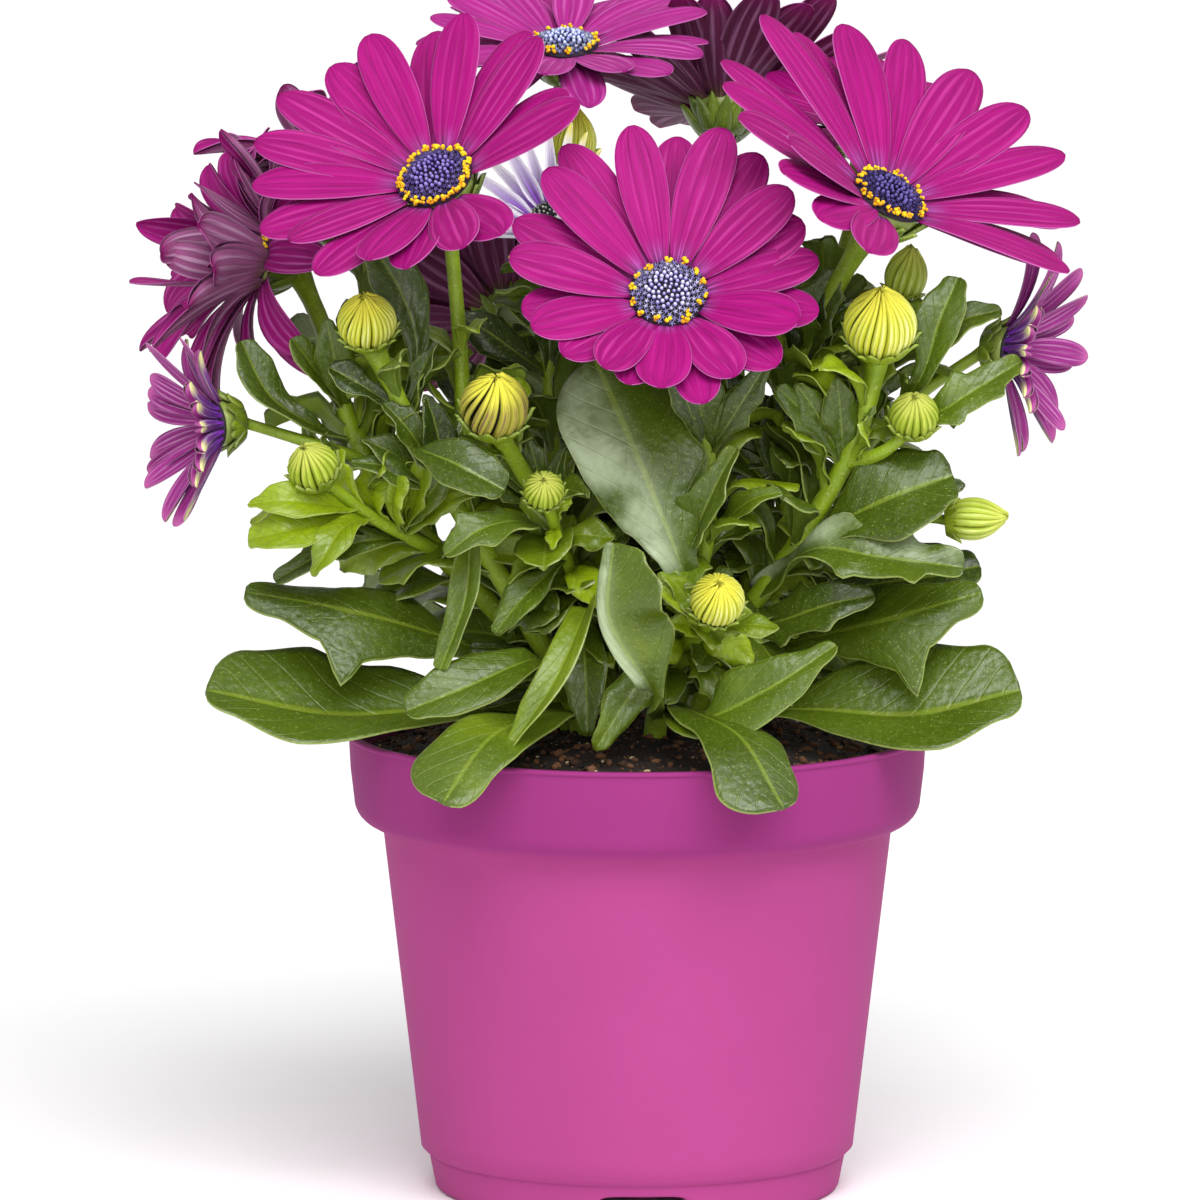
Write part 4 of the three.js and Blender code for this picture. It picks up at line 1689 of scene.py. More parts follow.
@dataclass(frozen=True)
class Tuft:
    """Leaves that fan out from one place on a stalk, in millimetres and degrees.

    Attributes:
        at: where on the stalk it grows, as a share of the stalk's length.
        fan: the directions of its first and last leaf, 0 to the right and 90 up.
        count: how many leaves it has.
        length: the length of its longest leaf.
        tone: how young its leaves are.
        forward: how far they reach towards the front, as a share of their length.
        stout: the width of a leaf, as a share of its length.
    """

    at: float
    fan: Pair
    count: int
    length: float
    tone: float
    forward: float
    stout: float = 0.36

    SPREAD = Spread((4, 26), (-24, 12), 0.18)

    def leaves(self, path: Path, chance: random.Random) -> Iterable[Leaf]:
        """Grows its leaves.

        Args:
            path: the stalk's middle line.
            chance: the source of their unevenness.

        Yields:
            Each leaf.
        """
        foot, front, up = path.at(self.at), Vector((0, -1, 0)), Vector((0, 0, 1))
        for i in range(self.count):
            angle = math.radians(blend(*self.fan, (i + 0.5) / self.count) + chance.uniform(-9, 9))
            length = self.length * chance.uniform(0.66, 1.0)
            out = Vector((math.cos(angle), 0, math.sin(angle)))
            near = front * self.forward * chance.uniform(0.7, 1.2)
            tip = out + near - up * chance.uniform(0.02, 0.16)
            steps = (Vector(), out * 0.3 + near * 0.5, out * 0.64 + near * 0.9, tip)
            facing = near.normalized() * 0.8 + out * chance.uniform(-0.2, 0.3) + up * 0.55
            width = length * self.stout * chance.uniform(0.8, 1.2)
            course = (foot + step * length for step in steps)
            yield self.SPREAD.leaf(course, facing, width, self.tone, chance)


@dataclass(frozen=True)
class Stalk:
    """A stem or side stalk, in millimetres, and how its leaves stand on it.

    Attributes:
        points: its course, from its foot to just under what it bears.
        thick: its radius.
        leaves: how many single leaves it carries, before FULLNESS.
        leafy: the stretch that carries these, as shares of its length.
        size: the length of its lowest and of its highest single leaf, before GROWTH.
        tone: how young its leaves are.
        blush: how purple-brown it turns towards its top.
        tufts: the leaves that fan out from places on it.
    """

    points: tuple[Triple, ...]
    thick: float
    leaves: int
    leafy: Pair
    size: Pair
    tone: float = 0.4
    blush: float = 0.0
    tufts: tuple[Tuft, ...] = ()

    SPREAD = Spread((6, 26), (-26, 12), 0.25)
    FULLNESS = 1.15  # how many single leaves grow for each one that is counted
    GROWTH = 1.2  # how much longer they grow than their size

    @cached_property
    def path(self) -> Path:
        """Its course as a curve."""
        return Path(self.points)

    def radius(self, share: float) -> float:
        """Its radius at a share of its length: thicker at its foot, and flared under what it bears."""
        return self.thick * (blend(1.12, 0.86, ease(0, 0.8, share)) + 0.4 * ease(0.93, 1.0, share))

    def shade(self, share: float) -> float:
        """How purple-brown it is at a share of its length."""
        return self.blush * ease(0.45, 0.95, share)

    def all_leaves(self, chance: random.Random) -> Iterable[Leaf]:
        """Grows the leaves of its tufts, and its single ones, each a golden angle round from the last.

        Args:
            chance: the source of their unevenness.

        Yields:
            Each leaf.
        """
        start = chance.uniform(0, math.tau)
        for tuft in self.tufts:
            yield from tuft.leaves(self.path, chance)
        count = round(self.leaves * self.FULLNESS)
        for i in range(count):
            part = (i + 0.5) / count
            share = blend(*self.leafy, part)
            ahead = self.path.tangent(share)
            level = ahead.orthogonal().normalized()
            out, _ = twisted(level, ahead.cross(level), start + i * GOLDEN_ANGLE)
            length = blend(*self.size, part) * self.GROWTH * chance.uniform(0.75, 1.15)
            rise, spread = chance.uniform(0.45, 0.95), chance.uniform(0.6, 1.0)
            tip = out * 0.84 * spread + ahead * 0.62 * rise - Vector((0, 0, 0.08))
            middle = out * 0.52 * spread + ahead * 0.5 * rise
            steps = (Vector(), out * 0.24 * spread + ahead * 0.26, middle, tip)
            foot, facing = self.path.at(share), ahead * 0.85 - out * 0.5
            width, tone = length * chance.uniform(0.34, 0.5), self.tone + 0.25 * part
            course = (foot + step * length for step in steps)
            yield self.SPREAD.leaf(course, facing, width, tone, chance)


@dataclass(frozen=True)
class Room:
    """The space that small leaves must leave free: flowers, buds, large leaves and the pot."""

    blooms: tuple[Bloom, ...]
    buds: tuple[Bud, ...]
    blades: tuple[NamedLeaf, ...]
    rim_radius: float = 60.0
    rim_height: float = 97.5

    WITHIN = 6.0  # how far inside the rim a low leaf stays
    LOWEST = 95.0  # how low it may hang there
    BEFORE_BUD = 24.0  # how far in front of a bud it stays clear
    OVER_BLADE = 40.0  # the same over a large leaf
    OVER_BLOOM = 30.0  # the same over a flower
    UNDER_BLOOM = 4.5  # how far it keeps below one
    SHALLOW = 40.0  # degrees: a flower whose petals rise more steeply counts as flat

    @cached_property
    def covers(self) -> list[tuple[Vector, Vector, float]]:
        """Places on the large leaves, each with the leaf's facing and width."""
        places = ((blade.leaf, share) for blade in self.blades for share in (0.5, 0.64, 0.78, 0.92))
        return [(leaf.path.at(share), leaf.facing, leaf.width) for leaf, share in places]

    def is_free(self, leaf: Leaf) -> bool:
        """Whether a leaf keeps clear of all of them.

        Args:
            leaf: the leaf.

        Returns:
            True if it does.
        """
        probes = [leaf.path.at(share) for share in (0.35, 0.6, 0.8, 1.0)]
        rules = (self.clears_pot, self.clears_blooms, self.clears_buds, self.clears_blades)
        return all(rule(point) for point in probes for rule in rules)

    def clears_pot(self, point: Vector) -> bool:
        """Whether a point is above the rim or well within it."""
        inside = math.hypot(point.x, point.y) < self.rim_radius - self.WITHIN
        return point.z > self.rim_height or (inside and point.z > self.LOWEST)

    def clears_blooms(self, point: Vector) -> bool:
        """Whether a point is behind every flower, or beyond its petals.

        Args:
            point: the point.

        Returns:
            True if it is.
        """
        for bloom in self.blooms:
            away = point - Vector(bloom.head.at)
            height = away.dot(bloom.head.facing)
            reach = (away - bloom.head.facing * height).length
            slope = math.tan(math.radians(bloom.cup)) if bloom.cup < self.SHALLOW else 0.0
            surface = slope * max(0.0, reach - bloom.disc)
            if reach < bloom.reach + 2 and surface - self.UNDER_BLOOM < height < surface + self.OVER_BLOOM:
                return False
        return True

    def clears_buds(self, point: Vector) -> bool:
        """Whether a point is neither in a bud nor close in front of one.

        Args:
            point: the point.

        Returns:
            True if it is neither.
        """
        for bud in self.buds:
            away = point - Vector(bud.head.at)
            sideways = math.hypot(away.x, away.z)
            if sideways < bud.radius + 2 and -self.BEFORE_BUD < away.y < bud.radius + 1:
                return False
        return True

    def clears_blades(self, point: Vector) -> bool:
        """Whether a point leaves the upper side of every large leaf in view.

        Args:
            point: the point.

        Returns:
            True if it does.
        """
        for spot, facing, width in self.covers:
            away = point - spot
            above = away.dot(facing)
            if -2 < above < self.OVER_BLADE and (away - facing * above).length < width * 0.48:
                return False
        return True


@dataclass(frozen=True)
class Shoot:
    """A stem with its side stalks and their small leaves."""

    name: str
    stalks: tuple[Stalk, ...]

    def build(self, room: Room) -> None:
        """Builds the shoot's stems, and its small leaves as a second piece.

        Args:
            room: the space that its leaves must leave free.
        """
        work = Sculpture(f"shoot_{self.name}", STEM)
        for stalk in self.stalks:
            work.tube(stalk.path, stalk.radius, stalk.shade, rings=8 + 5 * len(stalk.points))
        work.finish("stem", f"stem_{self.name}")
        chance = random.Random(self.name)
        work = Sculpture(f"leaves_{self.name}", LEAF, LEAF_BACK)
        for stalk in self.stalks:
            for leaf in stalk.all_leaves(chance):
                if room.is_free(leaf):
                    leaf.add_to(work, 8, 14)
        work.finish("leaf")


# ---------------------------------------------------------------- pot and soil


def arc(centre: Pair, radius: float, start: float, end: float, steps: int) -> list[Pair]:
    """Points on an arc, as radius and height pairs.

    Args:
        centre: the arc's centre.
        radius: its radius.
        start: where it starts, in degrees, 0 outwards and 90 up.
        end: where it ends, in degrees.
        steps: how many stretches it has.

    Returns:
        The points in order.
    """
    angles = [math.radians(blend(start, end, step / steps)) for step in range(steps + 1)]
    return [(centre[0] + radius * math.cos(a), centre[1] + radius * math.sin(a)) for a in angles]


def straight(start: Pair, end: Pair, steps: int) -> list[Pair]:
    """Points on a straight stretch from one radius and height to another, evenly spaced."""
    shares = [step / steps for step in range(steps + 1)]
    return [(blend(start[0], end[0], share), blend(start[1], end[1], share)) for share in shares]


@dataclass(frozen=True)
class Pot:
    """The plastic pot: a rounded lip, a deep collar, a tapering body and a notched foot."""

    rim_radius: float = 60.0
    height: float = 96.0
    lip: float = 0.55
    lip_inset: float = 0.45
    collar_height: float = 19.4
    collar_taper: float = 1.5
    collar_corner: float = 5.0
    body_top: float = 52.6
    body_bottom: float = 44.8
    foot_height: float = 8.0
    foot_radius: float = 43.2
    foot_taper: float = 1.2
    foot_corner: float = 1.5
    foot_wall: float = 3.6
    wall: float = 1.6
    base_lift: float = 6.0
    pad_radius: float = 12.0
    notches: int = 3
    notch_turn: float = 1.5
    notch_width: float = 20.0
    notch_height: float = 5.5
    sides: int = 288

    @property
    def collar_bottom(self) -> float:
        """The height of the collar's lower edge."""
        return self.height - self.collar_height

    def outside(self) -> list[Pair]:
        """The outer wall.

        Returns:
            Its radius and height pairs, from the foot up to the lip.
        """
        foot = self.foot_radius - self.foot_taper
        collar = self.rim_radius - self.collar_taper
        corner = (collar - self.collar_corner, self.collar_bottom + self.collar_corner)
        neck, neck_height = self.rim_radius - self.lip_inset, self.height - 2.2
        waist, shoulder = (self.body_bottom, self.foot_height + 1), (self.body_top, self.collar_bottom - 0.6)
        return [
            (foot - self.foot_corner, 0),
            *arc((foot - self.foot_corner, self.foot_corner), self.foot_corner, -90, 0, 4)[1:],
            *straight((foot, self.foot_corner), (self.foot_radius, self.foot_height - 0.4), 9)[1:],
            (self.body_bottom - 0.8, self.foot_height + 0.2),
            *straight(waist, shoulder, 18),
            (self.body_top + 0.3, self.collar_bottom),
            *arc(corner, self.collar_corner, -84, 0, 9),
            (blend(collar, self.rim_radius, 0.5), self.height - 8),
            (neck, neck_height),
            (neck, neck_height + 0.5),
            *arc((self.rim_radius - self.lip, neck_height + 1.2), self.lip, -80, 90, 6),
        ]

    def inside(self) -> list[Pair]:
        """The inner wall.

        Returns:
            Its radius and height pairs, from the lip down to the middle of the floor.
        """
        floor = self.base_lift + self.wall
        return [
            (self.rim_radius - self.wall - 0.2, self.height - 0.5),
            (self.rim_radius - self.wall - 0.4, self.height - 2),
            (self.rim_radius - self.collar_taper - self.wall, self.collar_bottom + self.collar_corner),
            (self.body_top - self.wall, self.collar_bottom + self.wall),
            (self.body_bottom - self.wall, floor),
            (0, floor),
        ]

    def underside(self) -> list[Pair]:
        """The recessed base with the pad in its middle.

        Returns:
            Its radius and height pairs, from the middle out to the foot.
        """
        inner = self.foot_radius - self.foot_taper - self.foot_wall
        return [
            (0, 0),
            (self.pad_radius, 0),
            (self.pad_radius + 0.4, self.base_lift - 0.4),
            (self.pad_radius + 1, self.base_lift),
            (inner - 0.6, self.base_lift),
            (inner, self.base_lift - 0.6),
            (inner, self.base_lift / 2),
            (inner, 0),
        ]

    def arch(self, angle: float) -> float:
        """How high the foot is cut out.

        Args:
            angle: the place round the pot, in radians.

        Returns:
            The height of the notch there, or 0 between the notches.
        """
        pitch = math.tau / self.notches
        first = math.radians(self.notch_turn) - math.pi / 2
        off = (angle - first + pitch / 2) % pitch - pitch / 2
        share = off * self.foot_radius / (self.notch_width / 2)
        return self.notch_height * (1 - share**6) ** (1 / 6) if abs(share) < 1 else 0.0

    def build(self) -> None:
        """Builds the pot as one piece."""
        work = Sculpture("pot_shell", PotFinish())
        work.turn([*self.underside(), *self.outside(), *self.inside()], self.sides)
        for vert in work.bm.verts:
            beyond_pad = math.hypot(vert.co.x, vert.co.y) > self.pad_radius + 5
            if beyond_pad and vert.co.z < self.foot_height - 0.5:
                vert.co.z = max(vert.co.z, self.arch(math.atan2(vert.co.y, vert.co.x)))
        work.finish("pot", "pot")


@dataclass(frozen=True)
class Soil:
    """Dark potting soil, domed in the middle, with loose crumbs and a few pale specks on it."""

    radius: float = 56.4
    wall_height: float = 91.0
    crown_height: float = 97.0
    depth: float = 16.0
    taper: float = 5.5
    crumbs: int = 2600
    crumbs_a_speck: int = 16

    def height(self, x: float, y: float) -> float:
        """The height of the soil's top.

        Args:
            x: the place to the right of the pot's axis.
            y: the place behind it.

        Returns:
            The height there.
        """
        share = math.hypot(x, y) / self.radius
        rise = (self.crown_height - self.wall_height) * max(0.0, 1 - share * share)
        rough = noise.fractal(Vector((x, y, 0)) / 6, 1.0, 2.0, 4)
        return self.wall_height + rise + 0.9 * rough - 0.4

    def build(self) -> None:
        """Builds the bed of soil, and its crumbs and specks as two more pieces."""
        work = Sculpture("soil_bed", SOIL_BED)
        bottom, lower = self.wall_height - self.depth, self.radius - self.taper
        top = straight((self.radius, self.wall_height), (0, self.wall_height), 40)
        work.turn([(0, bottom), (lower, bottom), *top], 160)
        for vert in work.bm.verts:
            if vert.co.z > bottom + 1:
                vert.co.z = self.height(vert.co.x, vert.co.y)
        work.finish("soil", "soil")
        crumb = Sculpture("crumb")
        bmesh.ops.create_icosphere(crumb.bm, subdivisions=1, radius=0.5)
        shape = crumb.template()
        chance = random.Random("soil")
        crumbs, specks = Sculpture("soil_crumbs", SOIL_CRUMB), Sculpture("soil_specks", SOIL_SPECK)
        for i in range(self.crumbs):
            place = self.crumb_place(chance)
            if i % self.crumbs_a_speck == 0:
                specks.stamp(shape, place @ Matrix.Scale(0.6, 4), chance.random())
            else:
                crumbs.stamp(shape, place, chance.random())
        crumbs.finish("soil")
        specks.finish("soil")
        bpy.data.meshes.remove(shape)

    def crumb_place(self, chance: random.Random) -> Matrix:
        """Where a crumb lies, and how it is stretched and turned.

        Args:
            chance: the source of its unevenness.

        Returns:
            The transform from the template.
        """
        reach, angle = self.radius * 0.985 * math.sqrt(chance.random()), chance.uniform(0, math.tau)
        x, y = reach * math.cos(angle), reach * math.sin(angle)
        size = 0.5 + 1.7 * chance.random() ** 3
        stretch = Vector((chance.uniform(0.8, 1.9), chance.uniform(0.6, 1.0), chance.uniform(0.5, 0.9)))
        turn = Matrix.Rotation(chance.uniform(0, math.tau), 4, "Z")
        tip = Matrix.Rotation(chance.uniform(-0.6, 0.6), 4, "X")
        spot = Matrix.Translation((x, y, self.height(x, y) + 0.15 * size))
        return spot @ turn @ tip @ Matrix.Diagonal((*(stretch * size), 1))


# ---------------------------------------------------------------- studio


def aim(item: bpy.types.Object, away: Vector, place: Vector) -> None:
    """Puts a camera or a light at a place, looking against a direction."""
    item.location = place
    item.rotation_euler = (-away).to_track_quat("-Z", "Y").to_euler()


@dataclass(frozen=True)
class Lamp:
    """A soft square light, in metres, watts and degrees of azimuth and elevation."""

    name: str
    azimuth: float
    elevation: float
    distance: float
    size: float
    power: float

    def build(self, target: Vector) -> None:
        """Places the light.

        Args:
            target: the point that it is aimed at, in metres.
        """
        data = bpy.data.lights.new(self.name, "AREA")
        data.size, data.energy = self.size, self.power
        away = direction(self.azimuth, self.elevation)
        aim(place_object(self.name, data), away, target + away * self.distance)


@dataclass(frozen=True)
class Sky:
    """A broad soft light from far away, in degrees and in watts on a square metre."""

    name: str
    azimuth: float
    elevation: float
    spread: float
    power: float

    def build(self) -> None:
        """Places the light."""
        data = bpy.data.lights.new(self.name, "SUN")
        data.angle, data.energy = math.radians(self.spread), self.power
        aim(place_object(self.name, data), direction(self.azimuth, self.elevation), Vector())


@dataclass(frozen=True)
class Studio:
    """The camera, the lights, the pale floor and the white surroundings, with angles in degrees.

    Attributes:
        target_mm: where the camera and the lamps look, in millimetres.
        distance: how far from there the camera is, in metres.
        elevation: how far above the level the camera is.
        view_angle: how wide it looks.
        floor_size: the length of the floor's side, in metres.
        glow: how brightly the surroundings light the plant.
        paper: how bright they look.
        sky: the broad light.
        lamps: the soft ones.
    """

    target_mm: Triple = (-7.7, 0.0, 122.5)
    distance: float = 2.22
    elevation: float = 7.76
    view_angle: float = 6.38
    floor_size: float = 40.0
    glow: float = 0.6
    paper: float = 1.0
    sky: Sky = Sky("sky_light", 2, 50, 36, 2.0)
    lamps: tuple[Lamp, ...] = (
        Lamp("side_light", 38, 44, 1.2, 0.5, 4.6),
        Lamp("front_light", -4, 14, 1.5, 0.5, 3.5),
    )

    @property
    def target(self) -> Vector:
        """Where the camera and the lamps look, in metres."""
        return Vector(self.target_mm) * MM

    def build_camera(self) -> None:
        """Makes the camera and sets it as the scene's."""
        data = bpy.data.cameras.new("camera")
        data.sensor_width = 36.0
        data.lens = data.sensor_width / 2 / math.tan(math.radians(self.view_angle) / 2)
        data.clip_start, data.clip_end = 0.1, 200.0
        camera = place_object("camera", data)
        away = direction(0, self.elevation)
        aim(camera, away, self.target + away * self.distance)
        bpy.context.scene.camera = camera

    def build_surroundings(self) -> None:
        """Makes the lights, the white world and the floor."""
        self.sky.build()
        for lamp in self.lamps:
            lamp.build(self.target)
        self.build_world()
        bm = bmesh.new()
        bmesh.ops.create_grid(bm, x_segments=1, y_segments=1, size=self.floor_size / 2)
        mesh = bpy.data.meshes.new("floor")
        bm.to_mesh(mesh)
        bm.free()
        mesh.materials.append(material_of(PaperFinish()))
        place_object("floor", mesh)

    def build_world(self) -> None:
        """Makes surroundings that look brighter to the camera than they light the plant."""
        world = bpy.data.worlds.new("studio")
        world.use_nodes = True
        nodes, links = world.node_tree.nodes, world.node_tree.links
        background = nodes["Background"]
        background.inputs["Color"].default_value = (1, 1, 1, 1)
        strength = nodes.new("ShaderNodeMapRange")
        strength.inputs["To Min"].default_value = self.glow
        strength.inputs["To Max"].default_value = self.paper
        links.new(nodes.new("ShaderNodeLightPath").outputs["Is Camera Ray"], strength.inputs["Value"])
        links.new(strength.outputs[0], background.inputs["Strength"])
        bpy.context.scene.world = world
        bpy.context.scene.view_settings.view_transform = "Standard"


# ---------------------------------------------------------------- the plant


def quills(turns: Iterable[float], length: float) -> tuple[Petal, ...]:
    """Makes petals that are still rolled up.

    Args:
        turns: where round the flower they stand, 0 to the right and 90 up.
        length: how long they are.

    Returns:
        The petals.
    """
    return tuple(
        Petal(turn, length, width=7, lift=58, droop=30, roll=140, tip_roll=150, blunt=0.1) for turn in turns
    )


BLOOMS = (
    Bloom("front", Head((6, -40, 190), 0, 40), 34, 22, 18, 8, long_side=100, lopsided=0.2, oval=0.03),
    Bloom(
        "upper_left", Head((-41, -24, 212), -26, 47), 38, 18, 18, 8,
        middle=Disc(INDIGO, 40), long_side=145, lopsided=0.18, gap=(-32, 16),
    ),
    Bloom(
        "upper_right", Head((51, -22, 208), 48, 53), 43, 18, 16, 8,
        middle=Disc(NIGHT, 30), long_side=40, lopsided=0.24, gap=(220, 285),
    ),
    Bloom("top", Head((-15, 24, 235), 0, 73), 33, 20, 14, 7, Habits.PALE, Disc(PALE_BLUE, 14)),
    Bloom(
        "top_back", Head((18, 56, 220), 172, 62), 37, 22, 16, 7, Habits.DARK,
        Disc(INDIGO, 20), long_side=180, lopsided=0.12,
    ),
    Bloom(
        "left", Head((-77, 8, 193), -80, 16), 34, 46, 30, 7, Habits.CURLED, Disc(INDIGO, 20),
        long_side=90, lopsided=-0.1,
    ),
    Bloom(
        "left_back", Head((-66, 38, 212), -120, 58), 28, 54, 2, 7, Habits.CURLED, Disc(INDIGO, 20),
        long_side=0, lopsided=0.1,
    ),
    Bloom(
        "low_left", Head((-86, -16, 161), -64, -4), 24, 13, 34, 5, Habits.SMALL, Disc(VIOLET, 0),
        gap=(-66, 62), extra=quills((-56, -34, -14, 8, 30, 52), 13),
    ),
    Bloom(
        "low_right", Head((76, -14, 176), 64, -4), 25, 13, 34, 5, Habits.SMALL, Disc(VIOLET, 0),
        gap=(116, 244), extra=quills((126, 148, 170, 192, 214, 236), 13),
    ),
    Bloom("half_open", Head((-18, 0, 201), -25, 41), 25, 18, 50, 5, Habits.HALF_OPEN, Disc(GREENISH, 0)),
    Bloom("right_back", Head((47, 29, 219), 20, 74), 29, 16, 14, 7, Habits.OPEN, Disc(VIOLET, 16)),
    Bloom("rear", Head((-28, 60, 176), 200, 36), 32, 18, 16, 7, Habits.OPEN, Disc(VIOLET, 16)),
)

BUDS = (
    Bud("upper_left", Head((-55, -30, 184), -10, 55), 6, 11),
    Bud("upper_right", Head((49, -34, 184), 0, 60), 7.5, 14),
    Bud("middle", Head((-29, -40, 168), 5, 55), 7, 13, BudHabits.STRIPED),
    Bud("small_middle", Head((-19, -44, 151), 0, 35), 4, 7, BudHabits.GREEN),
    Bud("low_front", Head((16, -52, 130), 5, 40), 5.5, 10),
    Bud("right", Head((56, -32, 165), 0, 50), 5, 9, BudHabits.GREEN),
    Bud("low_right", Head((69, -20, 142), 84, 4), 4.3, 12, BudHabits.PALE),
    Bud("left", Head((-66, -36, 155), -30, 50), 5.2, 9, BudHabits.GREEN),
    Bud("high_right", Head((55, -8, 191), 30, 70), 4.3, 11, BudHabits.PALE),
    Bud("high_middle", Head((-13, 10, 217), 0, 80), 4.5, 12),
)


def under_bloom(name: str) -> Triple:
    """The point just inside a flower's cup, where its stalk ends."""
    bloom = next(bloom for bloom in BLOOMS if bloom.name == name)
    return tuple(Vector(bloom.head.at) - bloom.head.facing * (bloom.depth - 1))


def under_bud(name: str) -> Triple:
    """The point just inside a bud, where its stalk ends."""
    bud = next(bud for bud in BUDS if bud.name == name)
    return tuple(Vector(bud.head.at) + bud.head.facing * (1 - bud.length / 2))


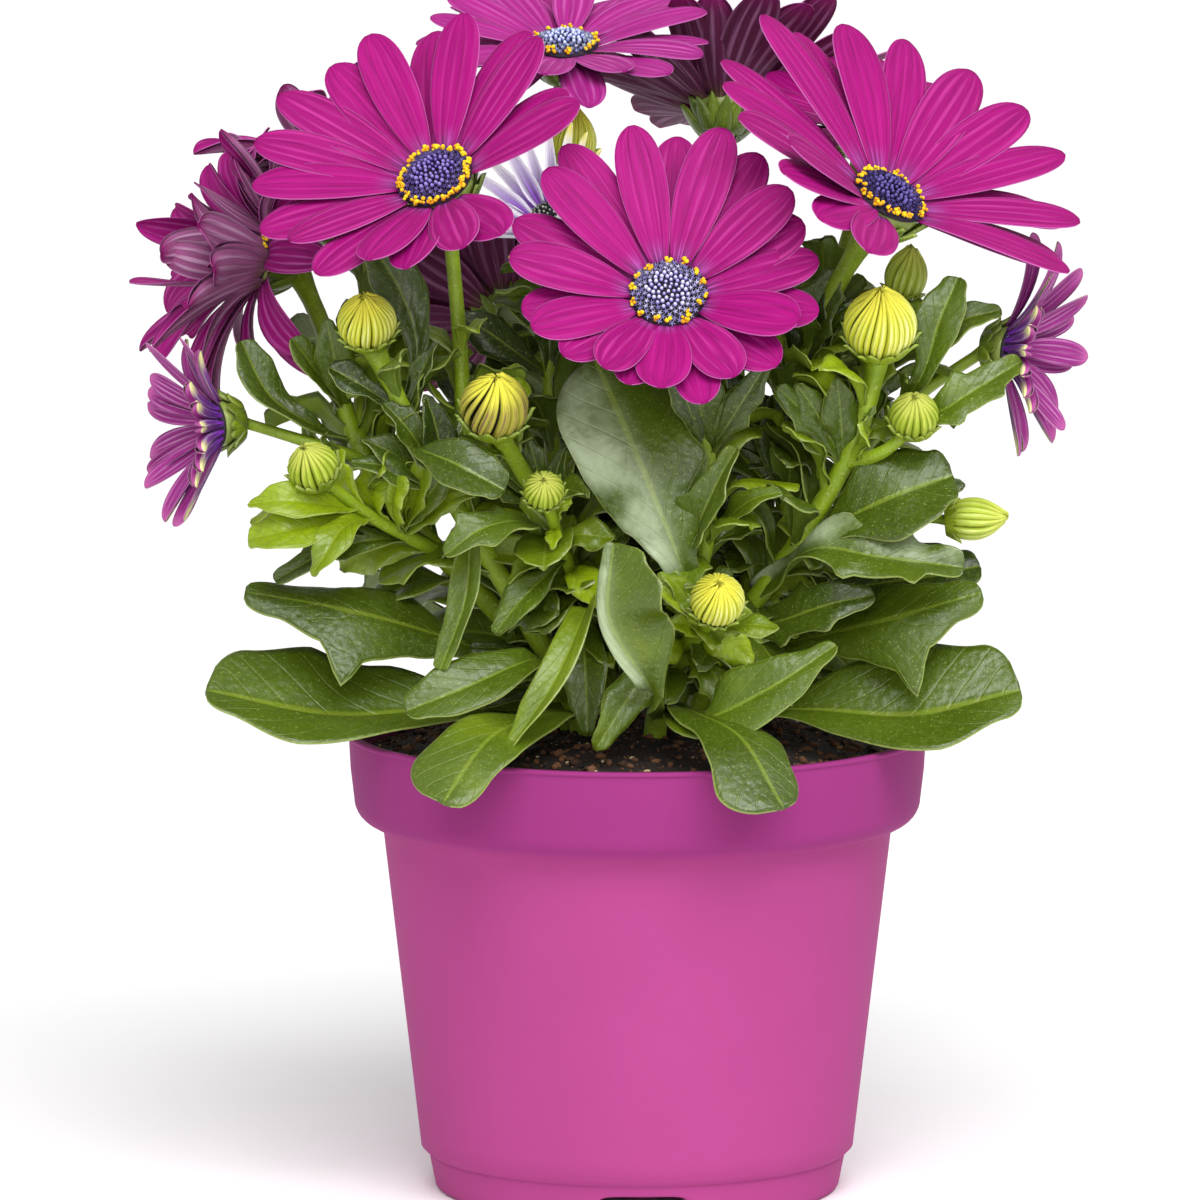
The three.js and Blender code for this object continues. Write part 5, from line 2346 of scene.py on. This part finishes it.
SHOOTS = (
    Shoot(
        "left",
        (
            Stalk(
                ((-12, -1, 70), (-15, -3, 100), (-26, -8, 118), (-42, -14, 136), (-57, -14, 156),
                 (-64, -3, 178), under_bloom("left")),
                2.2, 20, (0.24, 0.72), (34, 24),
                tufts=(
                    Tuft(0.54, (150, 200), 4, 34, 0.15, 0.3),
                    Tuft(0.75, (100, 200), 7, 24, 0.3, 0.5),
                ),
            ),
            Stalk(((-55, -15, 153), (-66, -18, 157), under_bloom("low_left")), 1.3, 3, (0.05, 0.4), (20, 16)),
            Stalk(
                ((-40, -14, 134), (-54, -25, 143), under_bud("left")), 1.5, 12, (0.05, 0.8), (26, 14), 0.7,
                tufts=(
                    Tuft(0.5, (120, 235), 10, 25, 0.75, 0.55),
                    Tuft(0.3, (30, 110), 4, 24, 0.6, 0.6),
                ),
            ),
            Stalk(((-57, -15, 156), (-56, 12, 184), under_bloom("left_back")), 1.6, 8, (0.0, 0.6), (28, 18)),
        ),
    ),
    Shoot(
        "left_middle",
        (
            Stalk(
                ((-9, -9, 70), (-12, -12, 100), (-22, -19, 120), (-35, -23, 142), (-47, -27, 164),
                 under_bud("upper_left")),
                2.2, 22, (0.26, 0.9), (32, 18),
                tufts=(
                    Tuft(0.32, (150, 215), 5, 32, 0.15, 0.2),
                    Tuft(0.5, (150, 230), 6, 32, 0.3, 0.7),
                    Tuft(0.7, (95, 190), 6, 28, 0.12, 0.3),
                    Tuft(0.86, (60, 150), 5, 22, 0.12, 0.15),
                ),
            ),
            Stalk(
                ((-35, -23, 142), (-36, -19, 175), under_bloom("upper_left")), 1.7, 16, (0, 0.66), (26, 18),
                tufts=(Tuft(0.45, (40, 130), 7, 30, 0.08, 0.1),),
            ),
        ),
    ),
    Shoot(
        "middle",
        (
            Stalk(
                ((-3, -4, 70), (-4, -5, 100), (-10, -12, 122), (-18, -22, 142), under_bud("middle")),
                2.2, 22, (0.3, 0.9), (30, 18),
                tufts=(
                    Tuft(0.55, (190, 275), 7, 34, 0.4, 1.0),
                    Tuft(0.75, (60, 150), 6, 26, 0.15, 0.4),
                    Tuft(0.9, (100, 200), 4, 16, 0.5, 0.4),
                ),
            ),
            Stalk(
                ((-10, -12, 122), (-15, -28, 136), under_bud("small_middle")),
                1.4, 9, (0.1, 0.8), (20, 10), 0.6,
                tufts=(Tuft(0.5, (130, 230), 6, 24, 0.4, 0.6),),
            ),
            Stalk(
                ((-16, -19, 137), (-18, -4, 168), under_bloom("half_open")), 1.6, 16, (0.0, 0.8), (28, 18),
                tufts=(Tuft(0.55, (60, 140), 7, 28, 0.06, 0.1),),
            ),
        ),
    ),
    Shoot(
        "front",
        (
            Stalk(
                ((3, -12, 70), (4, -15, 100), (9, -22, 120), (14, -30, 142), (13, -31, 164),
                 under_bloom("front")),
                2.2, 20, (0.28, 0.72), (28, 20),
                tufts=(
                    Tuft(0.44, (190, 350), 8, 36, 0.45, 0.8),
                    Tuft(0.62, (30, 110), 7, 26, 0.4, 0.6),
                    Tuft(0.75, (50, 120), 5, 26, 0.2, 0.3),
                ),
            ),
            Stalk(
                ((8, -20, 115), (13, -35, 121), under_bud("low_front")), 1.6, 16, (0.0, 0.9), (20, 11), 0.65,
                tufts=(Tuft(0.6, (-20, 200), 9, 18, 0.7, 0.6),),
            ),
        ),
    ),
    Shoot(
        "right",
        (
            Stalk(
                ((10, -6, 70), (12, -8, 100), (21, -16, 120), (33, -22, 138), (42, -25, 154), (47, -29, 168),
                 under_bud("upper_right")),
                2.2, 26, (0.26, 0.9), (30, 18),
                tufts=(
                    Tuft(0.48, (-50, 40), 7, 32, 0.35, 0.8),
                    Tuft(0.63, (-5, 45), 5, 38, 0.25, 0.35, 0.45),
                    Tuft(0.78, (70, 150), 5, 24, 0.5, 0.3),
                ),
            ),
            Stalk(
                ((42, -25, 154), (50, -29, 157), under_bud("right")), 1.4, 9, (0.0, 0.8), (20, 13), 0.65,
                tufts=(Tuft(0.5, (-50, 70), 8, 20, 0.65, 0.5),),
            ),
            Stalk(
                ((33, -22, 138), (50, -17, 142), under_bud("low_right")), 1.1, 5, (0.0, 0.5), (22, 16),
                tufts=(Tuft(0.5, (-20, 60), 5, 30, 0.3, 0.5),),
            ),
            Stalk(
                ((41, -25, 152), (56, -17, 166), under_bloom("low_right")), 1.4, 7, (0.0, 0.5), (24, 16),
                tufts=(Tuft(0.4, (-10, 70), 6, 34, 0.4, 0.2),),
            ),
            Stalk(
                ((44, -27, 160), (51, -15, 175), under_bud("high_right")), 1.4, 9, (0.0, 0.8), (22, 14), 0.5,
                tufts=(Tuft(0.6, (10, 85), 6, 28, 0.3, 0.25),),
            ),
        ),
    ),
    Shoot(
        "right_middle",
        (
            Stalk(
                ((8, 4, 70), (10, 3, 100), (20, -2, 118), (31, -9, 144), (32, -11, 168), (39, -14, 186),
                 under_bloom("upper_right")),
                2.2, 26, (0.28, 0.8), (30, 20),
                tufts=(
                    Tuft(0.3, (-30, 40), 7, 36, 0.3, -0.5),
                    Tuft(0.42, (-20, 50), 6, 34, 0.2, -0.3),
                    Tuft(0.45, (95, 200), 8, 32, 0.1, 0.05),
                    Tuft(0.62, (110, 200), 6, 28, 0.1, 0.05),
                    Tuft(0.56, (60, 130), 6, 32, 0.1, 0.2),
                    Tuft(0.73, (40, 110), 7, 30, 0.15, 0.15),
                ),
            ),
            Stalk(
                ((31, -9, 144), (36, 12, 176), (44, 26, 196), under_bloom("right_back")),
                1.6, 14, (0, 0.6), (28, 18),
                tufts=(
                    Tuft(0.15, (-20, 70), 6, 32, 0.25, -0.5),
                    Tuft(0.45, (10, 100), 5, 28, 0.3, -0.3),
                ),
            ),
        ),
    ),
    Shoot(
        "back",
        (
            Stalk(
                ((-2, 8, 70), (-3, 10, 100), (-6, 16, 130), (-8, 19, 165), (-13, 26, 204),
                 under_bloom("top")),
                2.0, 26, (0.25, 0.72), (32, 20), blush=0.8,
                tufts=(
                    Tuft(0.26, (-10, 60), 7, 38, 0.35, -0.9),
                    Tuft(0.38, (-40, 220), 11, 36, 0.1, 0.15),
                    Tuft(0.5, (20, 160), 8, 32, 0.2, -0.3),
                ),
            ),
            Stalk(
                ((-7, 18, 155), (7, 36, 188), under_bloom("top_back")),
                1.7, 10, (0, 0.6), (28, 18), blush=1.0,
            ),
            Stalk(((-9, 20, 172), (-13, 12, 192), under_bud("high_middle")), 1.4, 6, (0, 0.7), (22, 14), 0.5),
        ),
    ),
    Shoot(
        "rear",
        (
            Stalk(
                ((-9, 14, 70), (-10, 17, 100), (-13, 27, 120), (-18, 38, 144), (-22, 46, 162),
                 under_bloom("rear")),
                2.2, 24, (0.25, 0.8), (32, 20),
                tufts=(
                    Tuft(0.4, (-20, 200), 9, 36, 0.3, -0.6),
                    Tuft(0.65, (10, 170), 8, 30, 0.35, -0.4),
                    Tuft(0.8, (-10, 190), 8, 32, 0.1, 0.2),
                ),
            ),
        ),
    ),
)

LEAVES = (
    NamedLeaf("low_left", Leaf(
        ((-13, -10, 100), (-38, -22, 103), (-62, -30, 103), (-88, -30, 108)), direction(14, 55), 27,
        Outline.PADDLE, fold=18, tone=0.42, unfold=0.6,
    )),
    NamedLeaf("mid_left", Leaf(
        ((-16, -6, 107), (-38, -20, 117), (-58, -28, 124), (-80, -28, 128)), direction(18, 48), 21,
        Outline.LOBED, fold=-16, tone=0.3,
    )),
    NamedLeaf("low_right", Leaf(
        ((13, -9, 101), (36, -23, 103), (56, -30, 103), (78, -30, 108)), direction(-5, 46), 27,
        Outline.PADDLE, fold=18, tone=0.42, unfold=0.6, mirrored=True,
    )),
    NamedLeaf("mid_right", Leaf(
        ((19, -11, 113), (38, -20, 118), (53, -28, 123), (70, -29, 128)), direction(-8, 36), 21,
        Outline.LOBED, fold=-16, tone=0.42, mirrored=True,
    )),
    NamedLeaf("rim_left", Leaf(
        ((-12, -12, 101), (-20, -40, 104), (-30, -57, 102), (-39, -69, 91)), direction(-12, 44), 20,
        Outline.APRON, fold=-6, tone=0.5,
    )),
    NamedLeaf("rim_right", Leaf(
        ((7, -18, 103), (12, -42, 105), (21, -58, 102), (29, -69, 90)), direction(20, 52), 20,
        Outline.APRON, fold=-6, tone=0.32,
    )),
    NamedLeaf("centre", Leaf(
        ((4, -16, 101), (3, -46, 110), (-6, -52, 126), (-5, -50, 141)), direction(-28, 28), 19,
        Outline.BLADE, fold=10, tone=0.46,
    ), finish=LEAF_SHEENED),
    NamedLeaf("big_middle", Leaf(
        ((10, -24, 126), (9, -40, 134), (1, -37, 154), (-9, -26, 176)), direction(-6, 29), 25,
        Outline.CROWN, fold=-8, tone=0.36, wave=1.8,
    ), finish=LEAF_SHEENED),
    NamedLeaf("wide_right", Leaf(
        ((24, -18, 126), (36, -30, 137), (49, -35, 136), (66, -36, 134)), direction(10, 45), 18,
        Outline.NOTCHED, fold=16, tone=0.45, wave=1.6,
    ), finish=LEAF_SHEENED),
    NamedLeaf("front_right", Leaf(
        ((5, -18, 104), (13, -44, 104), (26, -50, 111), (40, -49, 120)), direction(10, 40), 15,
        Outline.SPEAR, fold=8, tone=0.5,
    )),
    NamedLeaf("front_left", Leaf(
        ((-17, -15, 110), (-22, -36, 115), (-34, -44, 111), (-47, -46, 106)), direction(-10, 40), 13,
        Outline.SPOON, fold=12, tone=0.4,
    )),
    NamedLeaf("high_left", Leaf(
        ((-43, -26, 157), (-44, -35, 158), (-37, -42, 156), (-27, -45, 151)), direction(-10, 40), 12,
        Outline.SPOON, fold=14, tone=0.25,
    )),
    NamedLeaf("strap_left", Leaf(
        ((-34, -22, 139), (-34, -34, 140), (-35, -41, 128), (-40, -43, 114)), direction(-20, 30), 7,
        Outline.STRAP, fold=32, tone=0.5,
    ), has_node=False),
    NamedLeaf("strap_front", Leaf(
        ((-10, -13, 122), (-11, -42, 125), (-17, -54, 113), (-26, -57, 100)), direction(-30, 40), 8,
        Outline.STRAP, fold=30, tone=0.6,
    ), has_node=False),
    NamedLeaf("glossy_left", Leaf(
        ((-17, -24, 139), (-25, -40, 144), (-32, -46, 143), (-39, -47, 138)), direction(-17, 32), 11,
        Outline.NOTCHED, fold=12, tone=0.45,
    ), has_node=False),
    NamedLeaf("level_left", Leaf(
        ((-43, -15, 136), (-52, -22, 138), (-63, -26, 136), (-74, -26, 130)), direction(0, 40), 9,
        Outline.TOOTHED, fold=16, tone=0.3,
    ), has_node=False),
    NamedLeaf("arched_left", Leaf(
        ((-58, -13, 157), (-66, -19, 161), (-75, -19, 167), (-81, -16, 178)), direction(20, 50), 9,
        Outline.SPOON, fold=14, tone=0.3,
    ), has_node=False),
    NamedLeaf("upright_left", Leaf(
        ((-47, -26, 166), (-45, -22, 178), (-48, -20, 188), (-54, -20, 198)), direction(10, 15), 11,
        Outline.SPOON, fold=12, tone=0.2,
    ), has_node=False),
    NamedLeaf("outer_right", Leaf(
        ((53, -22, 161), (61, -30, 165), (69, -30, 170), (78, -26, 175)), direction(0, 40), 12,
        Outline.TOOTHED, fold=14, tone=0.5,
    ), has_node=False),
    NamedLeaf("upper_right", Leaf(
        ((50, -16, 172), (59, -22, 178), (66, -23, 183), (74, -22, 185)), direction(-5, 40), 9,
        Outline.SPEAR, fold=14, tone=0.45,
    ), has_node=False),
    NamedLeaf("upright_right", Leaf(
        ((52, -21, 163), (58, -28, 173), (61, -28, 183), (65, -25, 192)), direction(-15, 25), 10,
        Outline.SPOON, fold=14, tone=0.35,
    ), has_node=False),
    NamedLeaf("broad_right", Leaf(
        ((31, -20, 134), (41, -27, 142), (52, -31, 148), (64, -29, 152)), direction(-12, 34), 21,
        Outline.SPOON, fold=10, tone=0.3, wave=1.4,
    ), has_node=False),
    NamedLeaf("under_right", Leaf(
        ((20, -13, 118), (30, -26, 122), (39, -32, 126), (48, -33, 128)), direction(-10, 30), 14,
        Outline.TOOTHED, fold=12, tone=0.2,
    ), has_node=False),
    NamedLeaf("folded_middle", Leaf(
        ((11, -24, 134), (12, -37, 142), (16, -41, 152), (20, -40, 159)), direction(-20, 30), 12,
        Outline.TOOTHED, fold=34, tone=0.45,
    ), has_node=False),
    NamedLeaf("shaded_right", Leaf(
        ((30, -12, 124), (48, -17, 128), (60, -19, 130), (70, -18, 132)), direction(0, 40), 15,
        Outline.SPOON, fold=10, tone=0.05,
    ), has_node=False),
    NamedLeaf("lime_left", Leaf(
        ((-57, -27, 145), (-65, -36, 147), (-72, -38, 148), (-79, -36, 147)), direction(-5, 40), 9,
        Outline.SPEAR, fold=14, tone=0.8,
    ), has_node=False),
    NamedLeaf("lime_low", Leaf(
        ((-55, -26, 143), (-64, -36, 143), (-71, -39, 142), (-79, -37, 140)), direction(5, 45), 11,
        Outline.SPOON, fold=12, tone=0.8,
    ), has_node=False),
    NamedLeaf("lime_front", Leaf(
        ((-55, -26, 143), (-60, -37, 142), (-63, -41, 138), (-66, -41, 133)), direction(-10, 35), 8,
        Outline.SPEAR, fold=14, tone=0.75,
    ), has_node=False),
    NamedLeaf("rear_left", Leaf(
        ((-10, 17, 101), (-30, 33, 108), (-52, 48, 114), (-68, 58, 112)), direction(190, 55), 22,
        Outline.LOBED, fold=14, tone=0.35,
    )),
    NamedLeaf("rear_right", Leaf(
        ((10, 3, 101), (24, 28, 108), (44, 46, 113), (62, 54, 110)), direction(165, 55), 22,
        Outline.PADDLE, fold=16, tone=0.4,
    )),
    NamedLeaf("rear_middle", Leaf(
        ((-3, 11, 104), (4, 36, 114), (6, 56, 116), (6, 76, 106)), direction(180, 45), 20,
        Outline.TOOTHED, fold=14, tone=0.45,
    )),
    NamedLeaf("rear_high", Leaf(
        ((-6, 16, 132), (6, 34, 144), (16, 46, 158), (20, 50, 176)), direction(170, 35), 18,
        Outline.TOOTHED, fold=14, tone=0.3,
    )),
)


def main() -> None:
    """Builds the studio and the potted plant, and reports each piece."""
    logging.basicConfig(level=logging.INFO, format="%(name)s: %(message)s")
    studio = Studio()
    studio.build_camera()
    Pot().build()
    Soil().build()
    room = Room(BLOOMS, BUDS, LEAVES)
    for shoot in SHOOTS:
        shoot.build(room)
    kit = FloretKit()
    for bloom in BLOOMS:
        bloom.build(kit)
    kit.discard()
    for part in (*BUDS, *LEAVES):
        part.build()
    studio.build_surroundings()


if __name__ == "__main__":
    main()
